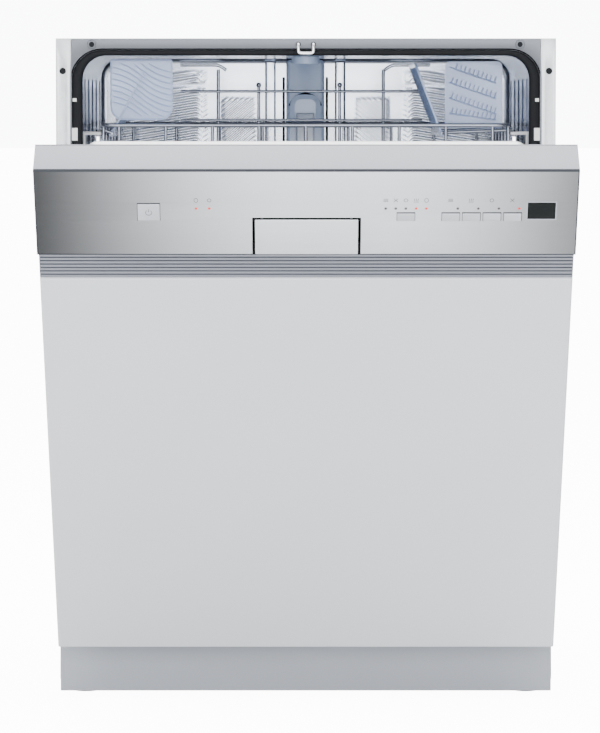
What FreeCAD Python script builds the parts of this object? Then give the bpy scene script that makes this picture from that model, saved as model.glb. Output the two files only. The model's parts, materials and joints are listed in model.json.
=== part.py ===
import FreeCAD, Part

import math
import os

# Built in dishwasher, semi-integrated, shown with its door ajar.  Millimetres, +Z up.
# Origin: floor level, middle of the width, in the plane of the cabinet's front flanges.
# The front looks towards -Y.  Door parts are drawn shut and then turned about the hinge.

V = FreeCAD.Vector
X_AXIS, Y_AXIS, Z_AXIS = V(1, 0, 0), V(0, 1, 0), V(0, 0, 1)

# ---------------------------------------------------------------- driving dimensions
WIDTH = 598.0            # cabinet, side to side
HEIGHT = 798.0           # floor to the top of the cabinet, feet screwed right in
DEPTH = 512.0            # cabinet, front flange plane to rear panel
SHEET = 1.0              # sheet metal
GAP = 0.4                # clearance between pieces that move past each other
FIT = 0.05               # radial clearance of a shaft in its bore

FLANGE_W = 18.0          # galvanised side flange, seen from the front
FRAME_TOP = 14.4         # steel bar above the tub opening
OPEN_R = 36.0            # corner radius of the tub opening
GASKET_SIDE = 12.6       # seal width at the sides
GASKET_TOP = 6.2         # seal width across the top
GASKET_PROUD = 2.6       # seal stands in front of the flange plane
CHANNEL_D = 12.0         # depth of the seal channel
TUB_DEPTH = DEPTH - 32   # inside, behind the seal channel
TUB_FLOOR = 146.0        # inside floor height
SILL = 118.0             # lower edge of the steel front frame
FELT = 5.0               # insulation mat

BASE_Z0 = 20.0           # underside of the plastic base
BASE_TOP = 110.0         # rim of the plastic base
BASE_FRONT = 32.0        # base and plinth stand back from the flanges
PLINTH_T = 1.2
PLINTH_Z0 = 8.0
PLINTH_Z1 = 104.0
FOOT_R = 17.0
FOOT_PAD = 7.0
FOOT_REAR_R = 32.0
FOOT_STEM_R = 5.0
FOOT_X = 270.0
FOOT_FRONT_Y = 95.0
FOOT_REAR_Y = DEPTH - 42

DOOR_W = WIDTH - 2.0     # console and top trim
PANEL_W = WIDTH - 5.6    # front panel and ridged strip
DOOR_T = 49.0            # thickness of the door's edge
DOOR_FRONT = -62.0       # front face when shut
DOOR_BOTTOM = 95.5
STRIP_H = 33.0
FASCIA_H = 114.0
STRIP_RIDGES = 7
STRIP_BACK = 2.5         # the ridged strip lies behind the panel's face
SKIN = 1.2               # door skins
HINGE_Y = -12.0
HINGE_Z = 115.5
DOOR_OPEN = 34.0         # opening angle as drawn
PIN_R = 4.0
ARM_T = 3.0              # hinge plates
HINGE_X = WIDTH / 2 - 14 # middle of the door side hinge arm
LINER_FACE = -3.0        # inner face of the door when shut
LINER_Z0 = 120.0

FLAP_W = 113.6
FLAP_H = 47.0
FLAP_X = 0.2             # middle of the handle flap
FLAP_GAP = 3.0
POWER_TRAVEL = 3.0

RACK_SIDE = 23.5         # room between each rack and the tub wall
WIRE_R = 2.0
RIM_R = 2.5
UPPER_Z1 = HEIGHT - 104  # rim of the upper rack
UPPER_Z0 = UPPER_Z1 - 98 # its lowest wires
UPPER_Y0 = 32.0
LOWER_Z0 = 192.0
LOWER_Z1 = 305.0
LOWER_Y0 = 34.0

# ---------------------------------------------------------------- derived places
HALF = WIDTH / 2
BRACKET_X = HINGE_X + ARM_T / 2 + GAP        # cabinet side hinge plate, inner face
FRAME_X = HALF - FLANGE_W - GAP              # steel front frame reaches the side flanges
OPEN_X = FRAME_X - SHEET                     # half width of the channel for the seal
OPEN_Z1 = HEIGHT - FRAME_TOP
TUB_X = OPEN_X - GASKET_SIDE + 1.5           # inner face of the tub's side walls
TUB_ROOF = OPEN_Z1 - GASKET_TOP + 1.6        # inner face of the tub's roof
TUB_BACK = CHANNEL_D + TUB_DEPTH             # inner face of the back wall
UPPER_Y1 = TUB_BACK - 40
LOWER_Y1 = TUB_BACK - 32
RACK_X = TUB_X - RACK_SIDE                   # half width of both racks
LINER_X = FRAME_X - 0.6
LINER_Z1 = OPEN_Z1 - 1.6
PANEL_H = HEIGHT - 6.5 - DOOR_BOTTOM - STRIP_H - FASCIA_H
DOOR_BACK = DOOR_FRONT + DOOR_T
STRIP_Z0 = DOOR_BOTTOM + PANEL_H
FASCIA_Z0 = STRIP_Z0 + STRIP_H
DOOR_TOP = FASCIA_Z0 + FASCIA_H

os.makedirs("parts", exist_ok=True)


# ---------------------------------------------------------------- helpers
def box(x0, x1, y0, y1, z0, z1):
    """Block between two opposite corners."""
    return Part.makeBox(x1 - x0, y1 - y0, z1 - z0, V(x0, y0, z0))


def rod(a, b, radius):
    """Straight round bar from a to b."""
    way = V(*b) - V(*a)
    return Part.makeCylinder(radius, way.Length, V(*a), way)


def tube(a, b, radius, bore):
    """Straight round pipe."""
    return rod(a, b, radius).cut(rod(a, b, bore))


def mirrored(shape):
    """Twin of a piece on the other side of the middle plane."""
    return shape.mirror(V(0, 0, 0), X_AXIS)


def both(shape):
    """A piece and its twin, as separate solids."""
    return [shape, mirrored(shape)]


def plate_xz(x0, x1, z0, z1, y0, y1, radius=0.0, lower=0.0):
    """Upright plate facing the front, with rounded upper and lower corners."""
    plate = box(x0, x1, y0, y1, z0, z1)
    for r, z in ((radius, z1), (lower, z0)):
        if r > 0:
            edges = [e for e in plate.Edges if is_along(e, Y_AXIS) and abs(e.CenterOfMass.z - z) < 0.01]
            plate = plate.makeFillet(r, edges)
    return plate


def is_along(edge, way):
    """True for a straight edge that runs along a direction."""
    if edge.Curve.TypeId != "Part::GeomLine":
        return False
    line = edge.Vertexes[-1].Point - edge.Vertexes[0].Point
    return line.cross(way).Length < 1e-6


def rounded(shape, radius, way):
    """Rounds every straight edge of a block that runs along one direction."""
    return shape.makeFillet(radius, [e for e in shape.Edges if is_along(e, way)])


def fused(*shapes):
    """One solid from several that touch."""
    whole = shapes[0].fuse(list(shapes[1:])) if len(shapes) > 1 else shapes[0]
    return whole.removeSplitter()


def on_door(shape, angle=DOOR_OPEN):
    """Turns a piece drawn on the shut door to the angle of the open one."""
    turned = shape.copy()
    turned.rotate(V(0, HINGE_Y, HINGE_Z), X_AXIS, angle)
    return turned


def save(name, *solids, door=False):
    """Writes one node; identical or kindred pieces stay separate solids."""
    flat = []
    for item in solids:
        flat.extend(item if isinstance(item, (list, tuple)) else [item])
    if door:
        flat = [on_door(s) for s in flat]
    whole = flat[0] if len(flat) == 1 else Part.makeCompound(flat)
    whole.exportStep(f"parts/{name}.step")


# ---------------------------------------------------------------- cabinet
SIDE_HOLE_Z = HEIGHT - 39.0
SIDE_HOLE_DROP = 560.0
SIDE_HOLE_IN = 8.25          # hole centre from the outer face
SIDE_HOLE_R = 4.0
TOP_HOLE_X = 256.0
TOP_HOLE_Z = HEIGHT - FRAME_TOP / 2
TOP_HOLE_R = 3.2
STRIKER_X = 9.0
STRIKER_R = 2.0


def side_panel():
    """Left hand side sheet with its front flange, inner return and rear flange."""
    x0 = -HALF
    sheet = box(x0, x0 + SHEET, 0, DEPTH, SILL, HEIGHT)
    flange = box(x0, x0 + FLANGE_W, 0, SHEET, SILL, HEIGHT)
    for z in (SIDE_HOLE_Z, SIDE_HOLE_Z - SIDE_HOLE_DROP):
        flange = flange.cut(rod((x0 + SIDE_HOLE_IN, -1, z), (x0 + SIDE_HOLE_IN, 2, z), SIDE_HOLE_R))
    flange = flange.cut(box(-BRACKET_X - ARM_T - GAP, -BRACKET_X + GAP, -1, 2, SILL - 1, SILL + 31))
    inner = box(x0 + FLANGE_W - SHEET, x0 + FLANGE_W, 0, 14, SILL, HEIGHT)
    rear = box(x0, x0 + 15, DEPTH - SHEET, DEPTH, SILL, HEIGHT)
    return fused(sheet, flange, inner, rear)


save("side_panels", both(side_panel()))


def opening(grow, y0, y1):
    """Space inside the seal channel, larger all round by grow."""
    return plate_xz(-OPEN_X - grow, OPEN_X + grow, SILL + 14 - grow, OPEN_Z1 + grow, y0, y1, OPEN_R + grow, 6)


def front_frame():
    """Steel frame round the tub's mouth, with the channel that holds the seal."""
    lip = FRAME_X - OPEN_X
    plate = box(-FRAME_X, FRAME_X, 0.2, 1.2, SILL, HEIGHT).cut(opening(0, -1, 3))
    for x in (-TOP_HOLE_X, TOP_HOLE_X):
        plate = plate.cut(rod((x, -1, TOP_HOLE_Z), (x, 3, TOP_HOLE_Z), TOP_HOLE_R))
    for x in (-STRIKER_X, STRIKER_X):
        plate = plate.cut(rod((x, -1, TOP_HOLE_Z), (x, 3, TOP_HOLE_Z), STRIKER_R + FIT))
    wall = opening(lip, 1.2, CHANNEL_D).cut(opening(0, 0, CHANNEL_D + 1))
    mouth = plate_xz(-TUB_X, TUB_X, TUB_FLOOR, TUB_ROOF, 0, CHANNEL_D + 1, OPEN_R - 10, 0)
    back = opening(lip, CHANNEL_D - SHEET, CHANNEL_D).cut(mouth)
    return fused(plate, wall, back)


def gasket():
    """Rubber seal, up one side, across the top and down the other."""
    outer = opening(-0.1, -GASKET_PROUD, CHANNEL_D - SHEET)
    hole = plate_xz(-OPEN_X + GASKET_SIDE, OPEN_X - GASKET_SIDE, SILL - 20, OPEN_Z1 - GASKET_TOP,
                    -GASKET_PROUD - 1, CHANNEL_D + 1, OPEN_R - 8, 0)
    low = box(-HALF, HALF, -GASKET_PROUD - 1, CHANNEL_D + 1, 0, TUB_FLOOR + 4)
    return outer.cut(hole).cut(low)


def striker():
    """Bent wire loop that the door latch hooks over."""
    drop = 11.0
    z0 = TOP_HOLE_Z - drop
    legs = [rod((x, 6, TOP_HOLE_Z), (x, -10, TOP_HOLE_Z), STRIKER_R) for x in (-STRIKER_X, STRIKER_X)]
    falls = [rod((x, -10, TOP_HOLE_Z + STRIKER_R), (x, -10, z0), STRIKER_R) for x in (-STRIKER_X, STRIKER_X)]
    bar = rod((-STRIKER_X - STRIKER_R, -10, z0), (STRIKER_X + STRIKER_R, -10, z0), STRIKER_R)
    return fused(*legs, *falls, bar)


save("tub_front_frame", front_frame())
save("tub_gasket", gasket())
save("striker_loop", striker())

# tub of thin steel sheets, welded at their edges
SUMP_Y = 250.0
SUMP_R = 78.0
SALT_X = -175.0
SALT_Y = 190.0
SALT_R = 34.0
save("tub_side_walls", both(box(-TUB_X - SHEET, -TUB_X, CHANNEL_D, TUB_BACK, TUB_FLOOR, TUB_ROOF)))
save("tub_roof", box(-TUB_X - SHEET, TUB_X + SHEET, CHANNEL_D, TUB_BACK, TUB_ROOF, TUB_ROOF + SHEET))
wall_x = TUB_X + SHEET
save("tub_back_wall", box(-wall_x, wall_x, TUB_BACK, TUB_BACK + SHEET, TUB_FLOOR, TUB_ROOF + SHEET))
tub_floor = box(-TUB_X - SHEET, TUB_X + SHEET, CHANNEL_D, TUB_BACK + SHEET, TUB_FLOOR - SHEET, TUB_FLOOR)
tub_floor = tub_floor.cut(rod((0, SUMP_Y, 0), (0, SUMP_Y, TUB_FLOOR + 1), SUMP_R))
tub_floor = tub_floor.cut(rod((SALT_X, SALT_Y, 0), (SALT_X, SALT_Y, TUB_FLOOR + 1), SALT_R))
save("tub_floor", tub_floor)

# insulation, one mat each side and one on the roof
mat_x = TUB_X + SHEET
save("insulation_mats",
     both(box(-mat_x - FELT, -mat_x, CHANNEL_D + 10, TUB_BACK - 20, TUB_FLOOR + 20, TUB_ROOF - 20)),
     box(-mat_x + 10, mat_x - 10, CHANNEL_D + 10, TUB_BACK - 10, TUB_ROOF + SHEET, TUB_ROOF + SHEET + FELT))

# braces across the top and the sheet that closes the back
BRACE_Z0 = HEIGHT - 8.0
inner_x = HALF - SHEET
BRACE_W = 40.0
MID_BRACE_Y = 240.0
REAR_INSET = 15.0
rear_y = DEPTH - SHEET
brace_top = HEIGHT - SHEET
rear_brace = (box(-inner_x, inner_x, DEPTH - BRACE_W, rear_y, brace_top, HEIGHT),
              box(-inner_x + REAR_INSET, inner_x - REAR_INSET, rear_y - SHEET, rear_y,
                  HEIGHT - 20, brace_top))
mid_brace = [box(-inner_x, inner_x, MID_BRACE_Y, MID_BRACE_Y + BRACE_W, brace_top, HEIGHT)]
for lip_y in (MID_BRACE_Y, MID_BRACE_Y + BRACE_W - SHEET):
    mid_brace.append(box(-inner_x, inner_x, lip_y, lip_y + SHEET, BRACE_Z0, brace_top))
front_brace = box(-FRAME_X, FRAME_X, 1.2, BRACE_W, brace_top, HEIGHT)
save("top_braces", front_brace, mid_brace, rear_brace)
save("rear_panel", box(-inner_x + 15, inner_x - 15, DEPTH - SHEET, DEPTH, BASE_TOP, HEIGHT - 20))

# plastic base that carries the tub and holds the wet parts
BASE_T = 3.0
base_z = BASE_Z0 + BASE_T
INLET_X, SPIGOT_X, GLAND_X = 200.0, 150.0, 90.0
FITTING_Z = 62.0                   # inlet, spigot and gland leave the back in one row
INLET_R, SPIGOT_R, GLAND_R, GLAND_BORE = 13.2, 9.5, 9.0, 3.6
INLET_COLLAR_R, SPIGOT_COLLAR_R = 16.0, 12.0
FEET = (("front_left", -FOOT_X, FOOT_FRONT_Y, FOOT_R), ("front_right", FOOT_X, FOOT_FRONT_Y, FOOT_R),
        ("rear", 0.0, FOOT_REAR_Y, FOOT_REAR_R))
base_floor = box(-inner_x, inner_x, BASE_FRONT, DEPTH, BASE_Z0, base_z)
bosses = []
for _, foot_x, foot_y, _ in FEET:
    base_floor = base_floor.cut(rod((foot_x, foot_y, 0), (foot_x, foot_y, BASE_TOP), FOOT_STEM_R + FIT))
    boss_top = (foot_x, foot_y, BASE_TOP - 15)
    bosses.append(tube((foot_x, foot_y, base_z), boss_top, FOOT_STEM_R + 8, FOOT_STEM_R + FIT))
base_back = box(-inner_x + BASE_T, inner_x - BASE_T, DEPTH - BASE_T, DEPTH, base_z, BASE_TOP)
for x, r in ((INLET_X, INLET_COLLAR_R), (SPIGOT_X, SPIGOT_COLLAR_R), (GLAND_X, GLAND_R)):
    base_back = base_back.cut(rod((x, DEPTH - 10, FITTING_Z), (x, DEPTH + 10, FITTING_Z), r + FIT))
base_front = box(-inner_x + BASE_T, inner_x - BASE_T, BASE_FRONT, BASE_FRONT + BASE_T, base_z, BASE_TOP)
base_side = box(-inner_x, -inner_x + BASE_T, BASE_FRONT, DEPTH, base_z, BASE_TOP)
save("base_tray", base_floor, base_front, base_back, both(base_side), bosses)

posts = []
for y0 in (CHANNEL_D + 14, TUB_BACK - 40):
    post = box(-inner_x, -inner_x + 20, y0, y0 + 24, BASE_TOP, SILL)
    posts.extend(both(post))
BEARER_X0, BEARER_X1 = -TUB_X + 20, -TUB_X + 32
bearer = box(BEARER_X0, BEARER_X1, 60, TUB_BACK - 52, base_z, TUB_FLOOR - SHEET)
save("tub_supports", both(bearer), posts)

save("plinth", plate_xz(-HALF + 1, HALF - 1, PLINTH_Z0, PLINTH_Z1, BASE_FRONT - PLINTH_T, BASE_FRONT))

# two feet in front and a broad one in the middle of the back
for fname, fx, fy, pad_r in FEET:
    pad = rod((fx, fy, 0), (fx, fy, FOOT_PAD), pad_r)
    hexagon = Part.Face(Part.makePolygon([V(fx + 10 * math.cos(math.radians(60 * k)),
                                            fy + 10 * math.sin(math.radians(60 * k)), FOOT_PAD)
                                          for k in range(7)])).extrude(V(0, 0, 8))
    stem = rod((fx, fy, FOOT_PAD), (fx, fy, BASE_TOP - 16), FOOT_STEM_R)
    save(f"levelling_foot_{fname}", fused(pad, hexagon, stem))

# ---------------------------------------------------------------- wet parts in the base
SUMP_Z0 = BASE_Z0 + 6
ARM_PIN_R = 5.0
sump_floor = rod((0, SUMP_Y, SUMP_Z0), (0, SUMP_Y, SUMP_Z0 + 4), SUMP_R + 6)
sump_wall = tube((0, SUMP_Y, SUMP_Z0 + 4), (0, SUMP_Y, TUB_FLOOR - SHEET), SUMP_R + 6, SUMP_R)
FILTER_R = 42.0
FILTER_TOP = TUB_FLOOR + 4
fine_filter = tube((0, SUMP_Y, TUB_FLOOR - 3), (0, SUMP_Y, TUB_FLOOR - 1), SUMP_R, FILTER_R + GAP)
cup = rod((0, SUMP_Y, SUMP_Z0 + 8), (0, SUMP_Y, FILTER_TOP), FILTER_R)
cup = cup.cut(rod((0, SUMP_Y, SUMP_Z0 + 10), (0, SUMP_Y, FILTER_TOP + 1), FILTER_R - 2))
cup = cup.cut(rod((0, SUMP_Y, SUMP_Z0), (0, SUMP_Y, FILTER_TOP), ARM_PIN_R + GAP))
grip = box(-FILTER_R + 1, FILTER_R - 1, SUMP_Y - 2, SUMP_Y + 2, FILTER_TOP - 20, FILTER_TOP - 6)
hub = tube((0, SUMP_Y, FILTER_TOP - 20), (0, SUMP_Y, FILTER_TOP), 9, 6)
grip = grip.cut(rod((0, SUMP_Y, FILTER_TOP - 30), (0, SUMP_Y, FILTER_TOP), 8))
save("filter_cylinder", fused(cup, grip, hub))
LOWER_ARM_Z = TUB_FLOOR + 20        # underside of the lower arm's blades
arm_seat = rod((0, SUMP_Y, SUMP_Z0 + 4), (0, SUMP_Y, SUMP_Z0 + 7), 12)
arm_bearing = rod((0, SUMP_Y, SUMP_Z0 + 7), (0, SUMP_Y, LOWER_ARM_Z + 12), ARM_PIN_R)
save("sump", sump_floor, sump_wall, fine_filter, arm_seat, arm_bearing)

softener = rounded(box(BEARER_X1 + 1, -110, 120, 360, base_z, TUB_FLOOR - SHEET - 2), 12, Z_AXIS)
softener = softener.cut(rod((SALT_X, SALT_Y, 70), (SALT_X, SALT_Y, TUB_FLOOR), SALT_R))
neck = tube((SALT_X, SALT_Y, 70), (SALT_X, SALT_Y, TUB_FLOOR + 3), SALT_R, SALT_R - 3)
save("water_softener", softener, neck)
cap = rod((SALT_X, SALT_Y, TUB_FLOOR + 3), (SALT_X, SALT_Y, TUB_FLOOR + 11), SALT_R)
cap = fused(cap, rod((SALT_X, SALT_Y, TUB_FLOOR - 10), (SALT_X, SALT_Y, TUB_FLOOR + 3), SALT_R - 3 - FIT),
            box(SALT_X - 24, SALT_X + 24, SALT_Y - 3, SALT_Y + 3, TUB_FLOOR + 11, TUB_FLOOR + 17))
save("salt_cap", cap)
PUMP_Y, PUMP_Z, PUMP_R = SUMP_Y + 40, 72.0, 44.0
motor = (rod((100, PUMP_Y, PUMP_Z), (210, PUMP_Y, PUMP_Z), PUMP_R),
         rod((86, PUMP_Y, PUMP_Z), (100, PUMP_Y, PUMP_Z), PUMP_R - 6),
         box(120, 190, PUMP_Y - 10, PUMP_Y + 10, base_z, PUMP_Z - PUMP_R))
HEATER_Y, HEATER_Z, HEATER_R = 130.0, 60.0, 22.0
heater = [rod((60, HEATER_Y, HEATER_Z), (220, HEATER_Y, HEATER_Z), HEATER_R)]
for x0 in (70, 190):
    heater.append(box(x0, x0 + 20, HEATER_Y - 10, HEATER_Y + 10, base_z, HEATER_Z - HEATER_R))
save("circulation_pump", motor, heater)
DRAIN_Z, DRAIN_R = 50.0, 24.0
drain_y = SUMP_Y - SUMP_R - 6
save("drain_pump", rod((0, drain_y, DRAIN_Z), (0, drain_y - 64, DRAIN_Z), DRAIN_R),
     box(-14, 14, drain_y - 44, drain_y - 24, base_z, DRAIN_Z - DRAIN_R))
nozzle = fused(rod((INLET_X, DEPTH - 12, FITTING_Z), (INLET_X, DEPTH + 1, FITTING_Z), INLET_COLLAR_R),
               rod((INLET_X, DEPTH + 1, FITTING_Z), (INLET_X, DEPTH + 15, FITTING_Z), INLET_R - FIT))
nozzle = nozzle.cut(rod((INLET_X, DEPTH - 10, FITTING_Z), (INLET_X, DEPTH + 16, FITTING_Z), 8))
save("inlet_valve", nozzle, box(INLET_X - 22, INLET_X + 22, DEPTH - 70, DEPTH - 12, base_z, FITTING_Z + 22))
spigot = fused(tube((SPIGOT_X, DEPTH - 14, FITTING_Z), (SPIGOT_X, DEPTH + 1, FITTING_Z), SPIGOT_COLLAR_R, 7),
               tube((SPIGOT_X, DEPTH + 1, FITTING_Z), (SPIGOT_X, DEPTH + 30, FITTING_Z), SPIGOT_R - FIT, 7),
               tube((SPIGOT_X, DEPTH - 5, FITTING_Z), (SPIGOT_X, DEPTH - 3, FITTING_Z), 16, 8))
save("drain_spigot", spigot)
gland = fused(tube((GLAND_X, DEPTH + 12, FITTING_Z), (GLAND_X, DEPTH - 8, FITTING_Z), GLAND_R, GLAND_BORE),
              tube((GLAND_X, DEPTH, FITTING_Z), (GLAND_X, DEPTH + 3, FITTING_Z), GLAND_R + 4, GLAND_BORE))
save("cord_gland", gland)

# ---------------------------------------------------------------- water to the upper rack
DUCT_X = 25.0
DUCT_Y0 = TUB_BACK - 14
DOCK_Z = UPPER_Z1 + 18      # the riser meets its dock a little above the rim
DOCK_R = 20.0
DUCT_DROP = 6.0             # thickness of the run below the roof
duct = (box(-DUCT_X, DUCT_X, DUCT_Y0, TUB_BACK, TUB_FLOOR, TUB_ROOF),
        box(-DUCT_X + 8, DUCT_X - 8, SUMP_Y, DUCT_Y0, TUB_ROOF - DUCT_DROP, TUB_ROOF))
dock = fused(box(-DOCK_R, DOCK_R, DUCT_Y0 - 14, DUCT_Y0, DOCK_Z - DOCK_R, DOCK_Z),
             rod((0, DUCT_Y0 - 14, DOCK_Z), (0, DUCT_Y0, DOCK_Z), DOCK_R))
sprinkler = rod((0, SUMP_Y, TUB_ROOF - DUCT_DROP - 3), (0, SUMP_Y, TUB_ROOF - DUCT_DROP), 18)
save("water_duct", duct, dock, sprinkler)

# ---------------------------------------------------------------- door hinges
bracket = fused(rod((-BRACKET_X, HINGE_Y, HINGE_Z), (-BRACKET_X - ARM_T, HINGE_Y, HINGE_Z), 8),
                box(-BRACKET_X - ARM_T, -BRACKET_X, HINGE_Y, 70, SILL + 0.5, SILL + 30),
                rod((-BRACKET_X, HINGE_Y, HINGE_Z), (-HINGE_X + ARM_T / 2 + 2, HINGE_Y, HINGE_Z), PIN_R),
                box(-HALF + SHEET, -BRACKET_X, 40, 70, SILL + 5, SILL + 25))
save("hinge_brackets", both(bracket))
arm = fused(rod((-HINGE_X - ARM_T / 2, HINGE_Y, HINGE_Z), (-HINGE_X + ARM_T / 2, HINGE_Y, HINGE_Z), 9),
            box(-HINGE_X - ARM_T / 2, -HINGE_X + ARM_T / 2, DOOR_BACK - 26, DOOR_BACK - 2, HINGE_Z - 6, 300))
arm = arm.cut(rod((-HINGE_X - 9, HINGE_Y, HINGE_Z), (-HINGE_X + 9, HINGE_Y, HINGE_Z), PIN_R + FIT))
save("hinge_arms", both(arm), door=True)

# ---------------------------------------------------------------- door
PANEL_X = PANEL_W / 2
DOOR_X = DOOR_W / 2
shell = box(-PANEL_X, PANEL_X, DOOR_FRONT, DOOR_BACK, DOOR_BOTTOM, STRIP_Z0 - 0.3)
shell = shell.cut(box(-PANEL_X + SKIN, PANEL_X - SKIN, DOOR_FRONT + SKIN, DOOR_BACK + 1,
                      DOOR_BOTTOM + SKIN, STRIP_Z0 + 1))
save("door_panel", shell, door=True)

# liner: pan that enters the tub's mouth, and a rim that reaches the panel's edges
DISH_W, DISH_H, DISH_D = 170.0, 120.0, 24.0
DISH_Z = 430.0
liner = plate_xz(-LINER_X, LINER_X, LINER_Z0, LINER_Z1, DOOR_BACK, LINER_FACE, OPEN_R, 4)
liner = liner.cut(plate_xz(-LINER_X + SKIN, LINER_X - SKIN, LINER_Z0 + SKIN, LINER_Z1 - SKIN,
                           DOOR_BACK - 1, LINER_FACE - SKIN, OPEN_R - SKIN, 3))
rim_x = PANEL_X - SKIN - 0.3
rim = plate_xz(-rim_x, rim_x, LINER_Z0, FASCIA_Z0 - 2, DOOR_BACK - SKIN, DOOR_BACK)
rim = rim.cut(box(-LINER_X + 10, LINER_X - 10, -90, 9, LINER_Z0 + 10, DOOR_TOP))
rim = rim.cut(box(-DOOR_X, -LINER_X, -90, 9, 0, SILL + 36)).cut(box(LINER_X, DOOR_X, -90, 9, 0, SILL + 36))
# upper half pressed further in, clear of the seal and of the upper rack
BULGE_X, BULGE_D, BULGE_Z0 = LINER_X - 35, 27.0, 540.0
BULGE_Z1 = LINER_Z1 - 8
bulge = plate_xz(-BULGE_X, BULGE_X, BULGE_Z0, BULGE_Z1, LINER_FACE - SKIN, LINER_FACE + BULGE_D, 34, 20)
hollow = plate_xz(-BULGE_X + SKIN, BULGE_X - SKIN, BULGE_Z0 + SKIN, BULGE_Z1 - SKIN,
                  LINER_FACE - SKIN - 1, LINER_FACE + BULGE_D - SKIN, 34 - SKIN, 20 - SKIN)
latch_notch = box(-STRIKER_X - 5, STRIKER_X + 5, DOOR_BACK - 1, 1, OPEN_Z1 - 10, DOOR_TOP)
notch_floor = box(-STRIKER_X - 7, STRIKER_X + 7, DOOR_BACK, LINER_FACE - SKIN, OPEN_Z1 - 12, OPEN_Z1 - 10)
liner = fused(fused(liner, rim).cut(latch_notch), notch_floor, bulge).cut(hollow)
dish_hole = box(-DISH_W / 2 - 0.2, DISH_W / 2 + 0.2, LINER_FACE - 9, 9, DISH_Z - DISH_H / 2 - 0.2,
                DISH_Z + DISH_H / 2 + 0.2)
save("door_liner", liner.cut(dish_hole), door=True)

STRIP_Y0 = DOOR_FRONT + STRIP_BACK
strip = box(-PANEL_X, PANEL_X, STRIP_Y0, DOOR_BACK, STRIP_Z0, FASCIA_Z0 - 0.3)
strip_x = PANEL_X - SKIN
strip = strip.cut(box(-strip_x, strip_x, STRIP_Y0 + 4, DOOR_BACK + 1, STRIP_Z0 + 2, FASCIA_Z0 + 1))
strip = strip.cut(box(-strip_x, strip_x, DOOR_BACK - SKIN - 0.3, DOOR_BACK + 1, 0, DOOR_TOP))
pitch = (STRIP_H - 0.3) / STRIP_RIDGES
for k in range(STRIP_RIDGES):
    z = STRIP_Z0 + pitch * k
    groove = box(-PANEL_X - 1, PANEL_X + 1, STRIP_Y0 - 1, STRIP_Y0 + 1.6, z + pitch - 1.7, z + pitch - 0.2)
    strip = strip.cut(groove)
save("ridged_strip", strip, door=True)

# console: stainless fascia in front, grey plastic trim on top and at the ends
TRIM_T = 2.0
FASCIA_Z1 = DOOR_TOP - 1.5
fascia = box(-DOOR_X, DOOR_X, DOOR_FRONT, DOOR_FRONT + SKIN, FASCIA_Z0, FASCIA_Z1)
flap_x0, flap_x1 = FLAP_X - FLAP_W / 2, FLAP_X + FLAP_W / 2
flap_z1 = FASCIA_Z0 + FLAP_H
fascia = fascia.cut(box(flap_x0 - FLAP_GAP, flap_x1 + FLAP_GAP, -90, 0, FASCIA_Z0 - 1, flap_z1 + FLAP_GAP))
POWER_X, POWER_Z, POWER_W, POWER_H = -173.0, FASCIA_Z0 + 57.5, 24.5, 22.0
KEY_Z, KEY_H = FASCIA_Z0 + 51.0, 10.0
PROGRAM_X, PROGRAM_W = 109.3, 19.4
OPTION_X0, OPTION_STEP, OPTION_W = 158.5, 22.6, 19.5
DISPLAY_X, DISPLAY_Z, DISPLAY_W, DISPLAY_H = 258.0, FASCIA_Z0 + 59.5, 33.0, 24.5
KEY_GAP = 0.5
LENS_R = 1.6
LENS_Z = FASCIA_Z0 + 62.5
LENS_X = (-121.0, -106.5, 87.0, 98.0, 109.0, 120.3, 131.5, 166.0, 188.5, 211.0, 233.5)
keys = [("power_button", POWER_X, POWER_Z, POWER_W, POWER_H),
        ("program_button", PROGRAM_X, KEY_Z, PROGRAM_W, KEY_H)]
for k in range(4):
    keys.append((f"option_button_{k + 1}", OPTION_X0 + OPTION_STEP * k, KEY_Z, OPTION_W, KEY_H))
for name, x, z, w, h in keys:
    half_w, half_h = w / 2, h / 2
    slot_w, slot_h = half_w + KEY_GAP, half_h + KEY_GAP
    fascia = fascia.cut(box(x - slot_w, x + slot_w, -90, 0, z - slot_h, z + slot_h))
    key = box(x - half_w, x + half_w, DOOR_FRONT - 0.8, DOOR_FRONT + 9, z - half_h, z + half_h)
    save(name, rounded(key, 0.8, Y_AXIS), door=True)
window = box(DISPLAY_X - DISPLAY_W / 2, DISPLAY_X + DISPLAY_W / 2, DOOR_FRONT + 0.2, DOOR_FRONT + 5,
             DISPLAY_Z - DISPLAY_H / 2, DISPLAY_Z + DISPLAY_H / 2)
fascia = fascia.cut(box(DISPLAY_X - DISPLAY_W / 2, DISPLAY_X + DISPLAY_W / 2, -90, 0,
                        DISPLAY_Z - DISPLAY_H / 2, DISPLAY_Z + DISPLAY_H / 2))
lenses = []
for x in LENS_X:
    fascia = fascia.cut(rod((x, -90, LENS_Z), (x, 0, LENS_Z), LENS_R))
    lenses.append(rod((x, DOOR_FRONT - 0.3, LENS_Z), (x, DOOR_FRONT + 5, LENS_Z), LENS_R))
save("fascia", fascia, door=True)
save("display_and_lenses", window, lenses, door=True)

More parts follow.
